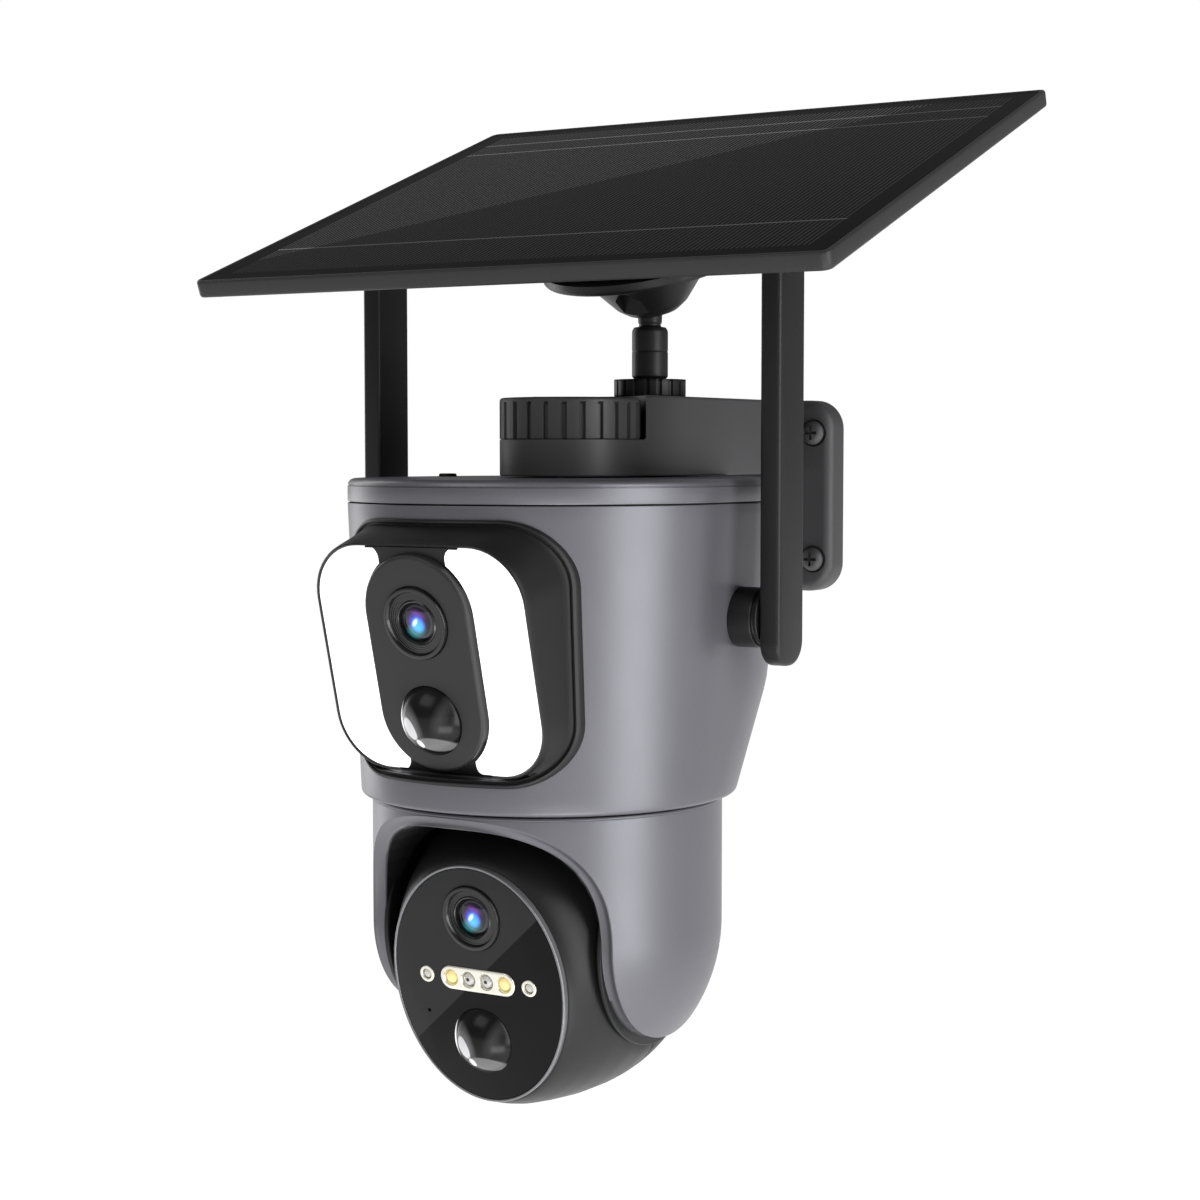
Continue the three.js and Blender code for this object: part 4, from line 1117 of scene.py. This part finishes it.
def head_shell_mesh(front):
    """The front or back shell of the head."""
    if front:
        levels = [(2.15, 0.35), (2.3, 0.1), (2.6, 0)] + [(2.6 + i * 26.4 / 22, 0) for i in range(1, 23)]
        levels += [(29.3, 0.1), (29.45, 0.45), (29.45, 1.6)]
        return lofted([head_ring(w, *[v - inset for v in section_at(w)]) for w, inset in levels])
    levels = [(1.85, 0.35), (1.7, 0.1), (1.4, 0)]
    for i in range(1, 33):
        a = math.pi / 2 * i / 33
        levels.append((1.4 - 39.1 * math.sin(a) * 0.999, 0))
    rings = [head_ring(w, *[max(v - inset, 0.05) for v in section_at(max(w, -37.69))]) for w, inset in levels]
    return lofted(rings)


HEAD_LENS_Y, HEAD_DOME_Y = 15.6, -15
BAR_LIGHTS = (-7.6, -2.55, 2.55, 7.6)


class CAMERA_OT_head(bpy.types.Operator):
    """Build the tilting head: its two shells, the face glass and rim, the lens, lights and motion sensor dome"""
    bl_idname = "security_camera.head"
    bl_label = "Tilting Head"

    def execute(self, context):
        body = "head"
        well = moved(stacked(circle(8.2), [(0, 22), (0, 33)]), place(0, 15.6, 0))
        front = carved(head_shell_mesh(True), [well])
        finished("head_front", front, "satin_black", body, ["head_front_shell"], HEAD_SPACE, sharp=34)
        finished("head_rear", head_shell_mesh(False), "satin_black", body, ["head_rear_shell"], HEAD_SPACE, sharp=34)
        shape = egg(*HEAD_EGG)
        corners = [(0, 29.3), (0, 30.8), (0.15, 31.0), (0.5, 31.0), (0.65, 30.8), (0.65, 29.3)]
        profile = rounded_corners(corners, 0.1, 2, closed=True)
        rim = lofted([[(x, y, w) for x, y in shape(inset)] for inset, w in profile], cap=False, loop=True)
        finished("face_edge", rim, "rim_grey", body, ["face_rim"], HEAD_SPACE, sharp=50)
        self.face(body)
        self.lights(body)
        finished("head_lens_ring", barrel_mesh(8.0, 31.6), "lens_barrel", body, ["head_lens_barrel"],
                 HEAD_SPACE @ place(0, HEAD_LENS_Y, 0))
        finished("head_lens", lens_mesh(LENS_RADIUS, 1.1), "coated_lens", body, ["head_lens_glass"],
                 HEAD_SPACE @ place(0, HEAD_LENS_Y, 29.6), flat=True)
        finished("head_motion_dome", lens_mesh(8.1, 4.7, 24), "smoky_dome", body, ["head_motion_sensor_dome"],
                 HEAD_SPACE @ place(0, HEAD_DOME_Y, 30.9), flat=True)
        return {"FINISHED"}

    def face(self, body):
        glass = stacked(egg(23.68, 27.78, 29.68), edge_levels(29.45, 30.85, 0, 0.2, 3))
        cuts = [moved(stacked(circle(8.1), [(0, 27), (0, 33)]), place(0, 15.6, 0)),
                moved(stacked(pill(3.1, -7.7, 7.7, 20), [(0, 29.6), (0, 33)]), Matrix.Rotation(math.pi / 2, 4, "Z")),
                moved(stacked(circle(0.5, 16), [(0, 29.7), (0, 33)]), place(-15.1, -9.3, 0))]
        cuts += [moved(stacked(circle(2.15, 32), [(0, 29.6), (0, 33)]), place(x, 0, 0)) for x in (-14.66, 14.66)]
        finished("face_pane", carved(glass, cuts), "face_glass", body, ["face_glass"], HEAD_SPACE, flat=True)

    def lights(self, body):
        turn = Matrix.Rotation(math.pi / 2, 4, "Z")
        profile = edge_levels(29.5, 31.1, 0, 0.35, 3)
        tray = stacked(pill(2.95, -7.7, 7.7, 24), profile)
        cup = [(0, 30.0), (1.5, 30.1), (2.15, 31.2), (2.15, 33), (0, 33)]
        cups = [moved(turned(cup, 36), turn @ place(0, x, 0)) for x in BAR_LIGHTS]
        finished("led_bar", carved(moved(tray, turn), cups), "led_tray", body, ["led_bar_cover"], HEAD_SPACE)
        for i, x in enumerate((-7.6, -2.55, 2.55, 7.6), 1):
            finish = "phosphor" if i in (1, 4) else "led_clear"
            lens = turned(rounded_corners([(0, 29.9), (1.45, 29.9), (1.45, 30.7), (0.9, 31.1), (0, 31.2)], 0.3), 32)
            finished(f"led_{i}", lens, finish, body, ["led_board"] if i == 1 else (), HEAD_SPACE @ place(x, 0, 0))
        for i, x in ((2, -2.55), (3, 2.55)):
            dot = turned(rounded_corners([(0, 30.9), (0.42, 30.9), (0.42, 31.3), (0, 31.36)], 0.1), 24)
            finished(f"led_dot_{i}", dot, "lens_barrel", body, (), HEAD_SPACE @ place(x, 0.1, 0))
        for side, x in (("left", -14.66), ("right", 14.66)):
            rim = rounded_corners([(1.2, 29.7), (2.05, 29.7), (2.05, 31), (1.3, 31.1)], 0.2, closed=True)
            ring = turned(rim, 40, closed=True)
            finished(f"spot_ring_{side}", ring, "led_tray", body, [f"side_led_{side}"], HEAD_SPACE @ place(x, 0, 0))
            heart = turned(rounded_corners([(0, 29.7), (1.15, 29.7), (1.15, 30.6), (0, 31.0)], 0.3), 32)
            finished(f"spot_heart_{side}", heart, "led_clear", body, (), HEAD_SPACE @ place(x, 0, 0))


# ---------- solar panel and its ball joint ----------

def stem_mesh():
    """The stem on the bracket, with its collars and the ball at the top."""
    profile = [(0, 88.6), (3, 88.6), (3, 101.9), (4.3, 102.1), (4.72, 102.6), (4.72, 108.9), (4.55, 109.1),
               (4.72, 109.3), (4.72, 114.4), (4.2, 115.4), (2.9, 115.6), (2.8, 116.2), (3.1, 116.6)]
    start = -math.acos(3.2 / 6)
    angles = [start + (math.pi / 2 - start) * i / 20 for i in range(20)]
    ball = [(6 * math.cos(a), BALL.z + 6 * math.sin(a)) for a in angles]
    return turned([*rounded_corners(profile, 0.25, 3), (3.2, 118.6), *ball, (0, 131)], 64)


def socket_mesh():
    """Conical ball socket with a wide flange and a pointed slot facing forward."""
    corners = [(5.8, -4.7), (6.5, -5.5), (9.4, -3.4), (17.2, 6.2), (26.4, 6.6), (27, 7.4), (27, 9.4)]
    outside = rounded_corners(corners, 0.8)
    hollow = [(8.5 * math.cos(math.radians(a)), 8.5 * math.sin(math.radians(a))) for a in range(90, -31, -8)]
    cone = turned([*outside, (0, 9.4), *[(max(r, 0), z) for r, z in hollow], (5.8, -4.7)], 96)
    outline = [(-3.7, -8), (3.7, -8), (3.7, 1), (0, 4.4), (-3.7, 1)]
    rings = [[(x, -y, z) for x, z in outline] for y in (8.8, 24)]
    return carved(cone, [lofted(rings)])


def tray_mesh():
    """The shallow tray that holds the panel's glass."""
    half_x, half_y = PANEL_HALF
    rectangle = oblong(-half_x, half_x, -half_y, half_y, 2.4, 8)
    levels = [(1.0, 24.7), (0.4, 24.8), (0.1, 25.1), (0, 25.5), (0, 28.4), (0.1, 28.8), (0.4, 29.05), (0.8, 29.1),
              (1.15, 29.1), (1.35, 28.95), (1.4, 28.6), (1.45, 27.4)]
    return moved(stacked(rectangle, levels), place(*PANEL_CENTRE, 0))


class CAMERA_OT_ball_joint(bpy.types.Operator):
    """Build the panel's ball stem and conical socket, and give the socket's liner its finish"""
    bl_idname = "security_camera.ball_joint"
    bl_label = "Ball Joint"

    def execute(self, context):
        finished("panel_stem", stem_mesh(), "satin_black", "stem", ["ball_stem"], BALL_PLACE)
        finished("panel_socket", socket_mesh(), "satin_black", "panel", ["socket_cone"], PANEL_SPACE)
        dress("socket_liner", "rubber")
        return {"FINISHED"}


class CAMERA_OT_solar_panel(bpy.types.Operator):
    """Build the panel's tray, its glass with the cells, the junction box and the cable gland"""
    bl_idname = "security_camera.solar_panel"
    bl_label = "Solar Panel"

    def execute(self, context):
        finished("panel_frame", tray_mesh(), "panel_frame", "panel", ["panel_tray"], PANEL_SPACE, sharp=50)
        glass = stacked(oblong(-84.75, 84.75, -73.55, 73.55, 1.0, 5), [(0, 27.5), (0, 28.75), (0.15, 28.9)])
        finished("panel_glass", glass, "solar_glass", "panel", ["solar_glass", "solar_cells"],
                 PANEL_SPACE @ place(*PANEL_CENTRE, 0), flat=True)
        box = stacked(oblong(-24, 24, -22, 34, 8), edge_levels(9.6, 24.5, 1.0, 0.2))
        finished("junction_box", box, "panel_frame", "panel", ["panel_junction_box"], PANEL_SPACE)
        corners = [(1.6, 32.5), (3.6, 32.5), (3.6, 34.2), (2.9, 34.6), (2.9, 35.4), (3.3, 35.6), (3.3, 36.2),
                   (2.8, 36.4), (2.8, 37), (3.1, 37.2), (3.1, 37.8), (2.6, 38), (2.4, 39), (1.6, 39)]
        gland = turned(rounded_corners(corners, 0.15, 2, closed=True), 40, closed=True)
        finished("cable_gland", gland, "rubber", "panel", ["panel_cable_gland"],
                 PANEL_SPACE @ place(0, 0, 16) @ ALONG_Y)
        return {"FINISHED"}


class CAMERA_OT_inner_pieces(bpy.types.Operator):
    """Give the boards, cells, motors and shafts inside the body their finishes"""
    bl_idname = "security_camera.inner_pieces"
    bl_label = "Inner Pieces"

    def execute(self, context):
        finishes = {
            "board_green": ["main_board", "floodlight_led_board", "upper_camera_module", "camera_board"],
            "battery_wrap": ["battery_cell_left", "battery_cell_right"],
            "steel": ["pan_motor", "pan_bearing", "pan_shaft", "tilt_shaft", "tilt_bush", "tilt_motor",
                      "charge_socket"],
            "inner_black": ["speaker"],
        }
        for finish, nodes in finishes.items():
            for node in nodes:
                dress(node, finish)
        return {"FINISHED"}


# ---------- stage ----------

STAGE_LIGHTS = [
    ("right_light", (0.85, -0.2, 0.1), (0.42, 1.1), 7.6),
    ("left_light", (-0.85, 0.05, 0.15), (0.3, 1.0), 2.8),
    ("front_light", (-0.3, -1.0, 0.75), (0.8, 0.6), 2.6),
    ("low_light", (0.45, -0.55, -0.55), (0.5, 0.3), 2.6),
]


def soft_light(name, position, target, size, power):
    """A rectangular area light that faces its target."""
    data = bpy.data.lights.new(name, "AREA")
    data.shape = "RECTANGLE"
    data.size, data.size_y = size
    data.energy = power
    light = bpy.data.objects.new(name, data)
    light.location = position
    light.rotation_mode = "QUATERNION"
    light.rotation_quaternion = (Vector(target) - Vector(position)).to_track_quat("-Z", "Y")
    bpy.context.scene.collection.objects.link(light)


class CAMERA_OT_stage(bpy.types.Operator):
    """Build the pale floor, the studio light and the camera"""
    bl_idname = "security_camera.stage"
    bl_label = "Stage"

    def execute(self, context):
        scene = context.scene
        floor = bpy.data.objects.new("studio_floor", bpy.data.meshes.new("studio_floor"))
        bm = bmesh.new()
        corners = [bm.verts.new((x, y, -0.62)) for x, y in ((-9, -9), (9, -9), (9, 9), (-9, 9))]
        bm.faces.new(corners)
        bm.to_mesh(floor.data)
        bm.free()
        material, tree, shader, add = new_finish("studio_paper")
        white = shade_between(add, grain_of(add, 4, 2), (0.9, 0.9, 0.9), (0.93, 0.93, 0.93))
        tree.links.new(white, shader.inputs["Base Color"])
        shader.inputs["Roughness"].default_value = 0.9
        shader.inputs["Emission Color"].default_value = (1, 1, 1, 1)
        shader.inputs["Emission Strength"].default_value = 0.8
        floor.data.materials.append(material)
        scene.collection.objects.link(floor)
        world = bpy.data.worlds.new("studio_air")
        world.use_nodes = True
        air = world.node_tree
        seen = air.nodes["Background"]
        seen.inputs["Color"].default_value = (1, 1, 1, 1)
        seen.inputs["Strength"].default_value = 1.0
        glow = air.nodes.new("ShaderNodeBackground")
        glow.inputs["Strength"].default_value = 0.3
        path = air.nodes.new("ShaderNodeLightPath")
        mix = air.nodes.new("ShaderNodeMixShader")
        air.links.new(path.outputs["Is Camera Ray"], mix.inputs[0])
        air.links.new(glow.outputs[0], mix.inputs[1])
        air.links.new(seen.outputs[0], mix.inputs[2])
        air.links.new(mix.outputs[0], air.nodes["World Output"].inputs[0])
        scene.world = world
        scene.view_settings.view_transform = "Standard"
        middle = (0, -0.1, -0.03)
        for name, position, size, power in STAGE_LIGHTS:
            soft_light(name, position, middle, size, power)
        lens = bpy.data.cameras.new("studio_camera")
        lens.lens, lens.sensor_width = 68.18, 36
        lens.clip_start, lens.clip_end = 0.01, 50
        camera = bpy.data.objects.new("studio_camera", lens)
        camera.location = (0.30513, -0.57893, 0.01217)
        camera.rotation_euler = (math.radians(86.286), 0, math.radians(31.893))
        scene.collection.objects.link(camera)
        scene.camera = camera
        return {"FINISHED"}


class CAMERA_PT_parts(bpy.types.Panel):
    """Lists the camera's pieces in the 3D view's sidebar"""
    bl_idname = "CAMERA_PT_parts"
    bl_label = "Camera Parts"
    bl_space_type = "VIEW_3D"
    bl_region_type = "UI"
    bl_category = "Camera Parts"

    def draw(self, context):
        layout = self.layout
        for group in (housing_sizes(), panel_sizes(), finish_colours()):
            box = layout.box()
            for prop in group.bl_rna.properties:
                if not prop.is_readonly and prop.identifier != "name":
                    box.prop(group, prop.identifier)
        for operator in PIECE_OPERATORS:
            layout.operator(operator.bl_idname)


PIECE_OPERATORS = (
    CAMERA_OT_stage, CAMERA_OT_wall_bracket, CAMERA_OT_clamp, CAMERA_OT_housing, CAMERA_OT_antennas, CAMERA_OT_lamp,
    CAMERA_OT_fork, CAMERA_OT_head, CAMERA_OT_ball_joint, CAMERA_OT_solar_panel, CAMERA_OT_inner_pieces,
)
CLASSES = (HousingSizes, PanelSizes, FinishColours, *PIECE_OPERATORS, CAMERA_PT_parts)


def register():
    for cls in CLASSES:
        bpy.utils.register_class(cls)
    bpy.types.Scene.camera_housing_sizes = PointerProperty(type=HousingSizes)
    bpy.types.Scene.camera_panel_sizes = PointerProperty(type=PanelSizes)
    bpy.types.Scene.camera_finish_colours = PointerProperty(type=FinishColours)


def unregister():
    del bpy.types.Scene.camera_finish_colours
    del bpy.types.Scene.camera_panel_sizes
    del bpy.types.Scene.camera_housing_sizes
    for cls in reversed(CLASSES):
        bpy.utils.unregister_class(cls)


def main():
    register()
    for operator in PIECE_OPERATORS:
        group, name = operator.bl_idname.split(".")
        getattr(getattr(bpy.ops, group), name)()


if __name__ == "__main__":
    main()
